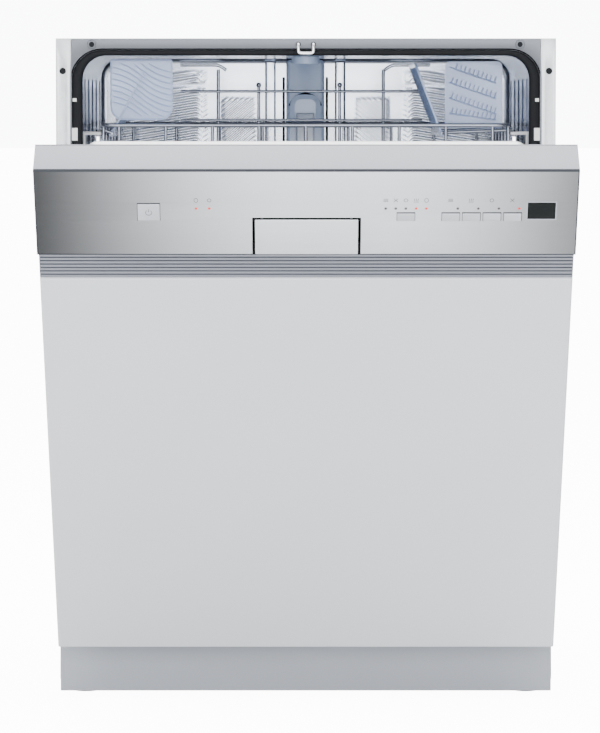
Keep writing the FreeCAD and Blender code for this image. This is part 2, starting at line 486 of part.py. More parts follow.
LATCH_X, LATCH_Y, LATCH_Z = 12.0, DOOR_BACK - 8, OPEN_Z1 - 12
trim = box(-DOOR_X, DOOR_X, DOOR_FRONT, DOOR_BACK, DOOR_TOP - TRIM_T, DOOR_TOP)
trim = trim.cut(box(-DOOR_X - 1, DOOR_X + 1, DOOR_FRONT - 1, DOOR_FRONT + 0.6,
                    DOOR_TOP - TRIM_T - 1, FASCIA_Z1 + 0.2))
trim_back = box(-DOOR_X, DOOR_X, DOOR_BACK - TRIM_T, DOOR_BACK, FASCIA_Z0, DOOR_TOP)
trim_end = box(-DOOR_X, -DOOR_X + TRIM_T, DOOR_FRONT + SKIN, DOOR_BACK, FASCIA_Z0, DOOR_TOP)
trim = fused(trim.cut(box(-DOOR_X - 1, DOOR_X + 1, DOOR_FRONT - 1, DOOR_FRONT + SKIN, 0, FASCIA_Z1)),
             trim_back, trim_end, mirrored(trim_end))
latch_slot = box(-LATCH_X - 0.3, LATCH_X + 0.3, DOOR_BACK - TRIM_T - 20, 9, LATCH_Z - 30, DOOR_TOP - TRIM_T)
save("console_trim", trim.cut(latch_slot), door=True)

# board that carries the switches, between the keys and the trim's back
BOARD_Y = DOOR_FRONT + 9 + POWER_TRAVEL + GAP
boards = [box(-200, -90, BOARD_Y, BOARD_Y + 2, FASCIA_Z0 + 30, FASCIA_Z1 - 8),
          box(80, 285, BOARD_Y, BOARD_Y + 2, FASCIA_Z0 + 30, FASCIA_Z1 - 8)]
spacers = [box(x, x + 8, BOARD_Y + 2, DOOR_BACK - TRIM_T, FASCIA_Z0 + 60, FASCIA_Z0 + 68)
           for x in (-195, -103, 85, 272)]
save("control_board", boards, spacers, door=True)

# handle flap, hung at its top edge, and the latch it works
flap = box(flap_x0, flap_x1, DOOR_FRONT, DOOR_FRONT + 2, FASCIA_Z0 + 0.4, flap_z1)
FLAP_AXIS_Y, FLAP_AXIS_Z = DOOR_FRONT + 6, flap_z1 - 4
ears = [fused(box(x, x + 3, DOOR_FRONT + 1, FLAP_AXIS_Y, FLAP_AXIS_Z - 3, FLAP_AXIS_Z + 3),
              rod((x, FLAP_AXIS_Y, FLAP_AXIS_Z), (x + 3, FLAP_AXIS_Y, FLAP_AXIS_Z), 4))
        .cut(rod((x - 1, FLAP_AXIS_Y, FLAP_AXIS_Z), (x + 4, FLAP_AXIS_Y, FLAP_AXIS_Z), 1.5 + FIT))
        for x in (flap_x0 + 6, flap_x1 - 9)]
save("handle_flap", fused(flap, *ears), door=True)

# recessed grip behind the flap, with the pin that the flap hangs on
POCKET_D = 26.0
pocket_x0, pocket_x1 = flap_x0 - FLAP_GAP, flap_x1 + FLAP_GAP
pocket = box(pocket_x0 - 2, pocket_x1 + 2, DOOR_FRONT + SKIN, DOOR_FRONT + POCKET_D,
             FASCIA_Z0, flap_z1 + FLAP_GAP + 2)
pocket = pocket.cut(box(pocket_x0, pocket_x1, DOOR_FRONT - 1, DOOR_FRONT + POCKET_D - 2,
                        FASCIA_Z0 + 0.2 - 1, flap_z1 + FLAP_GAP))
flap_pin = rod((pocket_x0 - 2, FLAP_AXIS_Y, FLAP_AXIS_Z), (pocket_x1 + 2, FLAP_AXIS_Y, FLAP_AXIS_Z), 1.5)
stays = [box(x, x + 6, DOOR_FRONT + POCKET_D, DOOR_BACK - TRIM_T, FASCIA_Z0 + 8, FASCIA_Z0 + 20)
         for x in (-50, 46)]
handle_housing = fused(pocket, flap_pin, *stays)

hook = fused(rod((-6, LATCH_Y, LATCH_Z), (6, LATCH_Y, LATCH_Z), 5),
             box(-5, 5, LATCH_Y - 3, LATCH_Y + 3, LATCH_Z - 20, LATCH_Z))
hook = hook.cut(rod((-7, LATCH_Y, LATCH_Z), (7, LATCH_Y, LATCH_Z), 2 + FIT))
save("latch_hook", hook, door=True)
latch_cheeks = [box(x, x + 3, LATCH_Y - 8, DOOR_BACK - 0.2, LATCH_Z - 28, LATCH_Z + 8)
                for x in (-LATCH_X, LATCH_X - 3)]
latch_case = fused(*latch_cheeks,
                   box(-LATCH_X, LATCH_X, LATCH_Y - 11, LATCH_Y - 8, LATCH_Z - 28, LATCH_Z + 8),
                   rod((-LATCH_X, LATCH_Y, LATCH_Z), (LATCH_X, LATCH_Y, LATCH_Z), 2))
save("handle_and_latch_housing", handle_housing, latch_case, door=True)

# dispenser in the liner
dish = box(-DISH_W / 2, DISH_W / 2, LINER_FACE - DISH_D, LINER_FACE, DISH_Z - DISH_H / 2, DISH_Z + DISH_H / 2)
CUP_X0, CUP_X1, CUP_Z0, CUP_Z1 = -72.0, 12.0, DISH_Z - 44, DISH_Z + 40
dish = dish.cut(box(CUP_X0, CUP_X1, LINER_FACE - DISH_D + 3, 0, CUP_Z0, CUP_Z1))
RINSE_X, RINSE_R = 48.0, 20.0
dish = dish.cut(rod((RINSE_X, LINER_FACE - 12, DISH_Z), (RINSE_X, 0, DISH_Z), RINSE_R - 4))
dish = dish.cut(box(CUP_X0 - 6, CUP_X1 + 6, LINER_FACE - 3, 1, CUP_Z0 - 6, CUP_Z1 + 8))
LID_Y, LID_Z = LINER_FACE - 0.5, CUP_Z1 + 4
pegs = [rod((x, LID_Y, LID_Z), (x + reach, LID_Y, LID_Z), 1.2)
        for x, reach in ((CUP_X0 - 6, 5), (CUP_X1 + 6, -5))]
save("dispenser_body", fused(dish, *pegs), door=True)
lid = box(CUP_X0 - 5, CUP_X1 + 5, LINER_FACE - 2.5, LINER_FACE + 1, CUP_Z0 - 5, CUP_Z1 + 3)
lid = fused(lid, rod((CUP_X0 - 5, LID_Y, LID_Z), (CUP_X1 + 5, LID_Y, LID_Z), 2.4))
lid = lid.cut(rod((CUP_X0 - 7, LID_Y, LID_Z), (CUP_X1 + 7, LID_Y, LID_Z), 1.2 + FIT))
save("detergent_lid", lid, door=True)
rinse = fused(rod((RINSE_X, LINER_FACE, DISH_Z), (RINSE_X, LINER_FACE + 3, DISH_Z), RINSE_R),
              rod((RINSE_X, LINER_FACE - 9, DISH_Z), (RINSE_X, LINER_FACE, DISH_Z), RINSE_R - 4 - FIT),
              box(RINSE_X - 14, RINSE_X + 14, LINER_FACE + 3, LINER_FACE + 8, DISH_Z - 2, DISH_Z + 2))
save("rinse_cap", rinse, door=True)
door_seal = box(-LINER_X + 12, LINER_X - 12, DOOR_BACK, LINER_FACE - 1, LINER_Z0 - 1.5, LINER_Z0)
save("door_seal", door_seal, door=True)

# ---------------------------------------------------------------- spray arms
def spray_arm(z, reach, swing, bore_r):
    """Two bladed arm about a hub on the middle axis, turned by swing degrees."""
    blade = box(-reach + 14, reach - 14, -15, 15, z, z + 9)
    tips = [rod((x, 0, z), (x, 0, z + 9), 15) for x in (-reach + 15, reach - 15)]
    hub = rod((0, 0, z - 5), (0, 0, z + 13), 24)
    arm = fused(blade, hub, *tips)
    for k in range(5):
        x = reach * (0.3 + 0.14 * k)
        for side in (-1, 1):
            arm = arm.cut(rod((side * x, side * 4, z + 5), (side * x, side * 4, z + 10), 1.6))
    arm = arm.cut(rod((0, 0, z - 6), (0, 0, z + 14), bore_r))
    arm.rotate(V(0, 0, 0), Z_AXIS, swing)
    arm.translate(V(0, SUMP_Y, 0))
    return arm


save("lower_spray_arm", spray_arm(LOWER_ARM_Z, 225, 20, ARM_PIN_R + FIT))
UPPER_ARM_Z = UPPER_Z0 - 32
save("upper_spray_arm", spray_arm(UPPER_ARM_Z, 205, 35, ARM_PIN_R + FIT))


# ---------------------------------------------------------------- racks
def ring(x1, y0, y1, z, radius):
    """Four straight wires round a rack, butted at the corners."""
    return [rod((-x1, y0, z), (x1, y0, z), radius), rod((-x1, y1, z), (x1, y1, z), radius),
            rod((-x1, y0 + radius, z), (-x1, y1 - radius, z), radius),
            rod((x1, y0 + radius, z), (x1, y1 - radius, z), radius)]


def spread(a, b, count):
    """Evenly spaced places from a to b."""
    return [a + (b - a) * k / (count - 1) for k in range(count)]


def rack(y0, y1, z0, z1, across, along, sides):
    """Open wire basket: rim, mid ring, floor wires and uprights."""
    wires = ring(RACK_X, y0, y1, z1, RIM_R)
    low = 2 * WIRE_R
    for x in spread(-RACK_X + 20, RACK_X - 20, across):
        wires.append(rod((x, y0 + WIRE_R, z0), (x, y1 - WIRE_R, z0), WIRE_R))
        for y in (y0, y1):
            wires.append(rod((x, y, z0 - WIRE_R), (x, y, z1 - RIM_R), WIRE_R))
    for y in spread(y0 + 24, y1 - 24, along):
        wires.append(rod((-RACK_X + WIRE_R, y, z0 + low), (RACK_X - WIRE_R, y, z0 + low), WIRE_R))
    for y in spread(y0 + 24, y1 - 24, sides):
        for x in (-RACK_X, RACK_X):
            wires.append(rod((x, y, z0 + WIRE_R), (x, y, z1 - RIM_R), WIRE_R))
    return wires


def tines(x0, x1, y, z0, z1, count):
    """Row of upright tines on a floor wire."""
    return [rod((x, y, z0), (x, y, z1), WIRE_R - 0.5) for x in spread(x0, x1, count)]


def rails(side):
    """Runner at the rack's side, with a wheel seat below it and a stop at each end."""
    x0, x1 = sorted((side * (RACK_X + RIM_R), side * (RACK_X + RIM_R + 6)))
    return box(x0, x1, UPPER_Y0 - 10, UPPER_Y1, RAIL_Z, RAIL_Z + 14)


RAIL_Z = UPPER_Z1 - 26
SHELF_T = 3.0
SHELF_PIN_R = 1.5
SHELF_Y0, SHELF_Y1 = UPPER_Y0 + 40, UPPER_Y0 + 330
HINGE_OUT = RACK_X - RIM_R - 7         # the left shelf hangs beside the rim
RIGHT_SHELF_X = RACK_X - 80.0          # the right shelf hangs on two arms, further in
SHELF_ROOM = 7.0                       # a raised shelf stays this far below the roof
SHELF_Z = UPPER_Z1 - 10
upper = rack(UPPER_Y0, UPPER_Y1, UPPER_Z0, UPPER_Z1, 9, 6, 6)
low_z = UPPER_Z0 + 3 * WIRE_R
upper_cross = spread(UPPER_Y0 + 24, UPPER_Y1 - 24, 6)
for y in (upper_cross[1], upper_cross[3]):
    upper += tines(-185, 185, y, low_z, UPPER_Z0 + 62, 10)
# glass rail: a low frame that stands across the rack
RAIL_Y = upper_cross[4]
for x in (-112.0, 100.0):
    upper.append(rod((x, RAIL_Y, low_z), (x, RAIL_Y, TUB_ROOF - 14), 2.2))
for x in (-60.0, 44.0):
    upper.append(rod((x, RAIL_Y, low_z), (x, RAIL_Y, UPPER_Z1 + 53), WIRE_R))
for z in (UPPER_Z1 + 5, UPPER_Z1 + 42):
    upper.append(rod((-160, RAIL_Y - 2.2 - 1.8, z), (150, RAIL_Y - 2.2 - 1.8, z), 1.8))
for side, x in ((-1, -HINGE_OUT), (1, RIGHT_SHELF_X)):
    upper.append(rod((x, SHELF_Y0 - 8, SHELF_Z), (x, SHELF_Y1 + 8, SHELF_Z), SHELF_PIN_R))
    x0, x1 = sorted((x - side * 3, side * RACK_X))
    for y in (SHELF_Y0 - 12, SHELF_Y1 + 8):
        upper.append(box(x0, x1, y, y + 4, SHELF_Z - 3, UPPER_Z1 - RIM_R))
feed_z = UPPER_ARM_Z - 6
pipe_z = UPPER_Z0 - 14
riser_y = UPPER_Y1 + RIM_R + 1
feed = (rod((0, SUMP_Y, feed_z), (0, SUMP_Y, pipe_z), ARM_PIN_R),
        rod((0, SUMP_Y, feed_z - 4), (0, SUMP_Y, feed_z), 14),
        box(-11, 11, SUMP_Y - 11, riser_y, pipe_z, UPPER_Z0 - WIRE_R),
        box(-12, 12, riser_y, UPPER_Y1 + 10, pipe_z, DOCK_Z - 4))
COMB_X0, COMB_Y, COMB_T = RIGHT_SHELF_X + 7, 150.0, 3.0
comb = plate_xz(COMB_X0, RACK_X - RIM_R, SHELF_Z + 6, TUB_ROOF - SHELF_ROOM, COMB_Y, COMB_Y + COMB_T, 6)
save("upper_rack", upper, feed, comb, rails(-1), rails(1))

lower = rack(LOWER_Y0, LOWER_Y1, LOWER_Z0, LOWER_Z1, 11, 8, 7)
tine_z = LOWER_Z0 + 3 * WIRE_R
for y in spread(LOWER_Y0 + 24, LOWER_Y1 - 24, 8)[1:7:2]:
    lower += tines(-200, 60, y, tine_z, LOWER_Z0 + 90, 12)
AXLE_Z = TUB_FLOOR + 18
WHEEL_Y = (LOWER_Y0 + 60, LOWER_Y1 - 60)
LEG_X, LEG_T = 239.0, 4.0
for y in WHEEL_Y:
    leg = box(-LEG_X - LEG_T, -LEG_X, y - 5, y + 5, AXLE_Z - 6, LOWER_Z0 - WIRE_R)
    axle = rod((-LEG_X - LEG_T, y, AXLE_Z), (-LEG_X - LEG_T - 13, y, AXLE_Z), 2.5)
    lower += both(leg)
    lower += both(axle)
    lower.append(box(-LEG_X, LEG_X, y - 2, y + 2, LOWER_Z0 - WIRE_R - 4, LOWER_Z0 - WIRE_R))
save("lower_rack", lower)
WHEEL_R = AXLE_Z - TUB_FLOOR - 0.3
for name, y in zip(("rack_wheels_front", "rack_wheels_rear"), WHEEL_Y):
    wheel = rod((243.6, y, AXLE_Z), (254, y, AXLE_Z), WHEEL_R)
    wheel = wheel.cut(rod((243, y, AXLE_Z), (257, y, AXLE_Z), 2.5 + FIT))
    save(name, both(wheel))
ROLLER_R = 8.0
ROLLER_Y = UPPER_Y0 + 30
roller_x0 = RACK_X + RIM_R + 0.5
roller_z = RAIL_Z - ROLLER_R - 0.3
roller = tube((-roller_x0 - 8, ROLLER_Y, roller_z), (-roller_x0, ROLLER_Y, roller_z), ROLLER_R, 2 + FIT)
save("rail_rollers", both(roller))
GUIDE_T = 2.0
guides = []
for y, pin_r in ((ROLLER_Y, 2.0), (UPPER_Y1 - 40, ROLLER_R)):
    guides += both(rod((-TUB_X + GUIDE_T, y, roller_z), (-roller_x0, y, roller_z), pin_r))
    guides += both(box(-TUB_X + GUIDE_T, -roller_x0, y - 12, y + 12, RAIL_Z + 14.4, RAIL_Z + 18))
    guides += both(box(-TUB_X, -TUB_X + GUIDE_T, y - 12, y + 12, RAIL_Z - 18, RAIL_Z + 18))
save("rail_guides", guides)

# cup shelves: ribbed plates that fold on the rack's side rims
SHELF_REACH = 92.0
LEFT_LEAN, RIGHT_LEAN = 28.0, 20.7
WEB_W, WEB_H, WEB_T = 76.0, 74.0, 2.5


def cup_shelf(length, hinge_x, lean):
    """Shelf on a barrel along its lower edge, leant inwards from upright."""
    y0, y1 = SHELF_Y0, SHELF_Y0 + length
    panel = box(hinge_x - SHELF_T / 2, hinge_x + SHELF_T / 2, y0, y1, SHELF_Z, SHELF_Z + SHELF_REACH)
    corners = [e for e in panel.Edges if is_along(e, X_AXIS) and e.CenterOfMass.z > SHELF_Z + 20]
    panel = panel.makeFillet(14, corners)
    shelf = fused(panel, rod((hinge_x, y0, SHELF_Z), (hinge_x, y1, SHELF_Z), 4))
    shelf.rotate(V(hinge_x, 0, SHELF_Z), Y_AXIS, lean)
    return shelf


def bored(shelf, hinge_x):
    """The shelf with the bore for its hinge wire."""
    return shelf.cut(rod((hinge_x, 0, SHELF_Z), (hinge_x, TUB_BACK, SHELF_Z), SHELF_PIN_R + FIT))


web_z1 = TUB_ROOF - SHELF_ROOM + 2
web_x0 = -HINGE_OUT - 2
web = plate_xz(web_x0, web_x0 + WEB_W, web_z1 - WEB_H, web_z1, SHELF_Y0, SHELF_Y0 + WEB_T, 3, 16)
save("cup_shelf_left", bored(fused(cup_shelf(200, -HINGE_OUT, LEFT_LEAN), web), -HINGE_OUT))
save("cup_shelf_right", bored(cup_shelf(260, RIGHT_SHELF_X, -RIGHT_LEAN), RIGHT_SHELF_X))

# cutlery basket in the lower rack
BASKET = (80.0, 225.0, 60.0, 200.0, LOWER_Z0 + 3 * WIRE_R + 0.3, LOWER_Z0 + 130)
bx0, bx1, by0, by1, bz0, bz1 = BASKET
basket = box(*BASKET).cut(box(bx0 + 2.5, bx1 - 2.5, by0 + 2.5, by1 - 2.5, bz0 + 2.5, bz1 + 1))
for k in range(5):
    x = bx0 + 14 + k * 26
    basket = basket.cut(box(x, x + 14, by0 - 1, by1 + 1, bz0 + 20, bz1 - 22))
basket = basket.fuse(box(bx0, bx1, (by0 + by1) / 2 - 1.25, (by0 + by1) / 2 + 1.25, bz0, bz1)).removeSplitter()
handle = box(bx0 + 40, bx1 - 40, (by0 + by1) / 2 - 1.25, (by0 + by1) / 2 + 1.25, bz1, bz1 + 30)
handle = handle.cut(box(bx0 + 52, bx1 - 52, by0, by1, bz1 + 2, bz1 + 22))
save("cutlery_basket", fused(basket, handle))
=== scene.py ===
"""Looks of a semi-integrated built in dishwasher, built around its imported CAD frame.

Lengths are in metres, in the frame's own axes: +Z up, -Y out of the front.  Door pieces are
shaped on the shut door and then turned about the hinge by the opening angle of the rest pose.
"""

import json
import logging
import math
from dataclasses import dataclass, field
from enum import Enum
from typing import Callable, Sequence

import bmesh
import bpy
from mathutils import Matrix, Vector


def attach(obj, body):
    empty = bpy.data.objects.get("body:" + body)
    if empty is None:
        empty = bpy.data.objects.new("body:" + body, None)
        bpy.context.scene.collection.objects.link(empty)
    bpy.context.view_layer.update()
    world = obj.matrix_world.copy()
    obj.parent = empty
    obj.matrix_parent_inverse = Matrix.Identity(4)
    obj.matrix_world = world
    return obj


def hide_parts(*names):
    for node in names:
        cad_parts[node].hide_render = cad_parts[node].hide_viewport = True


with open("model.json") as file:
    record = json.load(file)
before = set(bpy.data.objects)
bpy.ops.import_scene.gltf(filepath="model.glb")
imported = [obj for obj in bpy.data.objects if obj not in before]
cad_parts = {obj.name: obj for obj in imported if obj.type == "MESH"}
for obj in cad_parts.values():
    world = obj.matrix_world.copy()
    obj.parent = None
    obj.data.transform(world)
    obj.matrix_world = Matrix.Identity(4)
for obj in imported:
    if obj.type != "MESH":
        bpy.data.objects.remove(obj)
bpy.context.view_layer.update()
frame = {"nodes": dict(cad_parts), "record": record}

log = logging.getLogger("dishwasher")

MM = 0.001
Point = tuple[float, float, float]
Colour = tuple[float, float, float]


# ------------------------------------------------------------------ finishes
class Pattern(Enum):
    """How a finish varies over its surface."""

    PLAIN = "plain"
    BRUSHED_X = "brushed_x"
    BRUSHED_Z = "brushed_z"
    SPANGLE = "spangle"
    MOULDED = "moulded"
    FELT = "felt"


def node_group(name: str, inputs: dict[str, float], outputs: Sequence[str]) -> bpy.types.NodeTree:
    """Makes an empty shader node group with number inputs.

    Args:
        name: the group's name.
        inputs: number inputs and their defaults.
        outputs: names of the number outputs.

    Returns:
        The group, with its input and output nodes in place.
    """
    group = bpy.data.node_groups.new(name, "ShaderNodeTree")
    for label, value in inputs.items():
        socket = group.interface.new_socket(name=label, in_out="INPUT", socket_type="NodeSocketFloat")
        socket.default_value = value
    for label in outputs:
        group.interface.new_socket(name=label, in_out="OUTPUT", socket_type="NodeSocketFloat")
    group.nodes.new("NodeGroupInput")
    group.nodes.new("NodeGroupOutput")
    return group


def ends(group: bpy.types.NodeTree) -> tuple[bpy.types.Node, bpy.types.Node]:
    """Gives a group's input and output nodes."""
    inner = next(n for n in group.nodes if n.bl_idname == "NodeGroupInput")
    outer = next(n for n in group.nodes if n.bl_idname == "NodeGroupOutput")
    return inner, outer


def math_node(tree: bpy.types.NodeTree, operation: str, a: object, b: object) -> bpy.types.NodeSocket:
    """Adds a math node fed by sockets or plain numbers and returns its output."""
    node = tree.nodes.new("ShaderNodeMath")
    node.operation = operation
    for slot, value in zip(node.inputs, (a, b)):
        if isinstance(value, bpy.types.NodeSocket):
            tree.links.new(value, slot)
        else:
            slot.default_value = value
    return node.outputs[0]


def stretched_noise(tree: bpy.types.NodeTree, stretch: Point, scale: object, detail: float = 3.0) -> bpy.types.NodeSocket:
    """Noise on object coordinates, stretched along the axes.

    Args:
        tree: where the nodes go.
        stretch: scale along X, Y and Z.
        scale: the noise's own scale, a number or a socket.
        detail: octaves of the noise.

    Returns:
        The noise value.
    """
    where = tree.nodes.new("ShaderNodeTexCoord")
    mapping = tree.nodes.new("ShaderNodeMapping")
    mapping.inputs["Scale"].default_value = stretch
    noise = tree.nodes.new("ShaderNodeTexNoise")
    noise.inputs["Detail"].default_value = detail
    tree.links.new(where.outputs["Object"], mapping.inputs["Vector"])
    tree.links.new(mapping.outputs["Vector"], noise.inputs["Vector"])
    if isinstance(scale, bpy.types.NodeSocket):
        tree.links.new(scale, noise.inputs["Scale"])
    else:
        noise.inputs["Scale"].default_value = scale
    return noise.outputs[0]


def streak_group(name: str, stretch: Point) -> bpy.types.NodeTree:
    """Fine parallel lines of a brushed sheet, with slow bands between them."""
    group = node_group(name, {"Fineness": 1.0, "Depth": 1.0}, ("Mask", "Height"))
    inner, outer = ends(group)
    fine = stretched_noise(group, stretch, inner.outputs["Fineness"], 4.0)
    slow = stretched_noise(group, tuple(0.08 * s for s in stretch), inner.outputs["Fineness"], 1.0)
    mixed = math_node(group, "ADD", math_node(group, "MULTIPLY", fine, 0.7), math_node(group, "MULTIPLY", slow, 0.3))
    group.links.new(mixed, outer.inputs["Mask"])
    group.links.new(math_node(group, "MULTIPLY", mixed, inner.outputs["Depth"]), outer.inputs["Height"])
    return group


def spangle_group() -> bpy.types.NodeTree:
    """Faint crystal patches of hot dipped zinc."""
    group = node_group("zinc_spangle", {"Fineness": 90.0, "Depth": 1.0}, ("Mask", "Height"))
    inner, outer = ends(group)
    where = group.nodes.new("ShaderNodeTexCoord")
    cells = group.nodes.new("ShaderNodeTexVoronoi")
    group.links.new(where.outputs["Object"], cells.inputs["Vector"])
    group.links.new(inner.outputs["Fineness"], cells.inputs["Scale"])
    split = group.nodes.new("ShaderNodeSeparateColor")
    group.links.new(cells.outputs["Color"], split.inputs[0])
    group.links.new(split.outputs[0], outer.inputs["Mask"])
    group.links.new(math_node(group, "MULTIPLY", split.outputs[1], inner.outputs["Depth"]), outer.inputs["Height"])
    return group


def grain_group() -> bpy.types.NodeTree:
    """Fine even grain of moulded plastic or of enamel, with slow unevenness."""
    group = node_group("surface_grain", {"Fineness": 900.0, "Depth": 1.0}, ("Mask", "Height"))
    inner, outer = ends(group)
    fine = stretched_noise(group, (1, 1, 1), inner.outputs["Fineness"], 2.0)
    slow = stretched_noise(group, (1, 1, 1), 6.0, 2.0)
    group.links.new(slow, outer.inputs["Mask"])
    group.links.new(math_node(group, "MULTIPLY", fine, inner.outputs["Depth"]), outer.inputs["Height"])
    return group


GROUPS: dict[Pattern, bpy.types.NodeTree] = {
    Pattern.PLAIN: grain_group(),
    Pattern.BRUSHED_X: streak_group("brushed_along_x", (0.02, 1.0, 1.0)),
    Pattern.BRUSHED_Z: streak_group("brushed_along_z", (1.0, 1.0, 0.02)),
    Pattern.SPANGLE: spangle_group(),
}
GROUPS[Pattern.MOULDED] = GROUPS[Pattern.PLAIN]
GROUPS[Pattern.FELT] = GROUPS[Pattern.PLAIN]


@dataclass(frozen=True)
class Finish:
    """One material: its colour, its gloss, and how both vary over the surface."""

    name: str
    colour: Colour
    roughness: float
    metallic: float = 0.0
    pattern: Pattern = Pattern.PLAIN
    fineness: float = 900.0
    contrast: float = 0.06
    rough_spread: float = 0.06
    bump: float = 0.02
    coat: float = 0.0
    transmission: float = 0.0
    alpha: float = 1.0
    glow: float = 0.0
    # Share by which painted shade darkens the colour towards a sheet's two ends.
    painted_end_shade: float = 0.0
    specular: float = 0.5

    def material(self) -> bpy.types.Material:
        """Builds the node material once and hands it out again afterwards."""
        known = bpy.data.materials.get(self.name)
        if known is not None and known.get("own"):
            return known
        material = bpy.data.materials.new(self.name)
        material["own"] = True
        material.use_nodes = True
        tree = material.node_tree
        shader = next(n for n in tree.nodes if n.bl_idname == "ShaderNodeBsdfPrincipled")
        grain = tree.nodes.new("ShaderNodeGroup")
        grain.node_tree = GROUPS[self.pattern]
        grain.inputs["Fineness"].default_value = self.fineness
        grain.inputs["Depth"].default_value = 1.0
        ramp = tree.nodes.new("ShaderNodeValToRGB")
        ramp.color_ramp.elements[0].position = 0.25
        ramp.color_ramp.elements[1].position = 0.75
        ramp.color_ramp.elements[0].color = (*[c * (1 - self.contrast) for c in self.colour], 1)
        ramp.color_ramp.elements[1].color = (*[min(1, c * (1 + self.contrast)) for c in self.colour], 1)
        tree.links.new(grain.outputs["Mask"], ramp.inputs["Fac"])
        colour = ramp.outputs["Color"]
        # Painted shade towards the sheet's two ends.
        if self.painted_end_shade > 0:
            colour = self.paint_end_shade(tree, colour)
        tree.links.new(colour, shader.inputs["Base Color"])
        spread = math_node(tree, "MULTIPLY", grain.outputs["Mask"], self.rough_spread)
        tree.links.new(math_node(tree, "ADD", spread, self.roughness - self.rough_spread / 2), shader.inputs["Roughness"])
        relief = tree.nodes.new("ShaderNodeBump")
        relief.inputs["Strength"].default_value = self.bump
        relief.inputs["Distance"].default_value = 0.0005
        tree.links.new(grain.outputs["Height"], relief.inputs["Height"])
        tree.links.new(relief.outputs["Normal"], shader.inputs["Normal"])
        shader.inputs["Metallic"].default_value = self.metallic
        shader.inputs["Coat Weight"].default_value = self.coat
        shader.inputs["Specular IOR Level"].default_value = self.specular
        shader.inputs["Transmission Weight"].default_value = self.transmission
        shader.inputs["Alpha"].default_value = self.alpha
        if self.glow > 0:
            shader.inputs["Emission Color"].default_value = (*self.colour, 1)
            shader.inputs["Emission Strength"].default_value = self.glow
        material.diffuse_color = (*self.colour, 1)
        return material

    def paint_end_shade(self, tree: bpy.types.NodeTree, colour: bpy.types.NodeSocket) -> bpy.types.NodeSocket:
        """Paints shade into the colour: darkens a wide sheet slowly towards its two ends, where its faint bow mirrors
        less light.
        """
        where = tree.nodes.new("ShaderNodeTexCoord")
        split = tree.nodes.new("ShaderNodeSeparateXYZ")
        tree.links.new(where.outputs["Object"], split.inputs[0])
        reach = math_node(tree, "ABSOLUTE", math_node(tree, "SUBTRACT", split.outputs["X"], 0.035), 0.0)
        fall = tree.nodes.new("ShaderNodeMapRange")
        fall.interpolation_type = "SMOOTHSTEP"
        fall.inputs["From Min"].default_value = 0.04
        fall.inputs["From Max"].default_value = 0.36
        fall.inputs["To Min"].default_value = 1.0
        fall.inputs["To Max"].default_value = 1.0 - self.painted_end_shade
        tree.links.new(reach, fall.inputs["Value"])
        mix = tree.nodes.new("ShaderNodeVectorMath")
        mix.operation = "SCALE"
        tree.links.new(colour, mix.inputs[0])
        tree.links.new(fall.outputs["Result"], mix.inputs["Scale"])
        return mix.outputs["Vector"]


ZINC = Finish("galvanised_sheet", (0.62, 0.64, 0.66), 0.42, 0.75, Pattern.SPANGLE, 120.0, 0.05, 0.10, 0.01)
TUB_STEEL = Finish("tub_steel", (0.50, 0.53, 0.59), 0.20, 1.0, Pattern.BRUSHED_X, 1400.0, 0.05, 0.08, 0.02)
FRAME_STEEL = Finish("frame_steel", (0.13, 0.14, 0.16), 0.38, 0.6, Pattern.BRUSHED_X, 1400.0, 0.04, 0.08, 0.02)
LINER_STEEL = Finish("liner_steel", (0.90, 0.91, 0.93), 0.35, 0.6, Pattern.BRUSHED_X, 1400.0, 0.04, 0.08, 0.02)
CHROME = Finish("bright_wire", (0.86, 0.87, 0.90), 0.10, 1.0, Pattern.PLAIN, 600.0, 0.03, 0.05, 0.01)
RACK_WIRE = Finish("rack_wire", (0.26, 0.28, 0.33), 0.24, 0.85, Pattern.PLAIN, 500.0, 0.08, 0.08, 0.02)
SEAL = Finish("seal_rubber", (0.008, 0.009, 0.011), 0.6, 0.0, Pattern.MOULDED, 1500.0, 0.15, 0.1, 0.04,
              specular=0.12)
FELT_MAT = Finish("felt_mat", (0.16, 0.155, 0.15), 0.95, 0.0, Pattern.FELT, 700.0, 0.3, 0.05, 0.8)
DARK_BASE = Finish("dark_base", (0.045, 0.047, 0.05), 0.5, 0.0, Pattern.MOULDED, 1600.0, 0.1, 0.08, 0.06)
PLINTH_PAINT = Finish("plinth_paint", (0.36, 0.38, 0.42), 0.42, 0.0, Pattern.PLAIN, 1800.0, 0.03, 0.05, 0.02)
DOOR_PAINT = Finish("door_enamel", (0.71, 0.73, 0.77), 0.36, 0.0, Pattern.PLAIN, 1300.0, 0.015, 0.04, 0.015, 0.15)
TRIM_GREY = Finish("trim_plastic", (0.44, 0.46, 0.51), 0.48, 0.0, Pattern.MOULDED, 1700.0, 0.02, 0.05, 0.05)
SHELF_PLASTIC = Finish("shelf_translucent", (0.50, 0.64, 0.96), 0.22, 0.0, Pattern.MOULDED, 300.0, 0.06, 0.06, 0.03,
                       0.3, 0.45, 0.72)
RISER_PLASTIC = Finish("riser_translucent", (0.56, 0.70, 0.98), 0.26, 0.0, Pattern.MOULDED, 300.0, 0.05, 0.06, 0.03,
                       0.2, 0.1)
STUDIO_WHITE = Finish("studio_white", (0.94, 0.94, 0.94), 0.6, 0.0, Pattern.PLAIN, 40.0, 0.01, 0.02, 0.0)
# Near-black finish for painted shade along edges and in grooves.
PAINTED_SHADE_GREY = Finish("painted_shade_grey", (0.045, 0.05, 0.06), 0.5, 0.0, Pattern.MOULDED, 1600.0, 0.04, 0.05, 0.04,
                   specular=0.15)
WHITE_PLASTIC = Finish("white_plastic", (0.78, 0.79, 0.80), 0.45, 0.0, Pattern.MOULDED, 1600.0, 0.03, 0.05, 0.05)
GREY_PLASTIC = Finish("grey_plastic", (0.24, 0.26, 0.29), 0.45, 0.0, Pattern.MOULDED, 1500.0, 0.06, 0.06, 0.06)
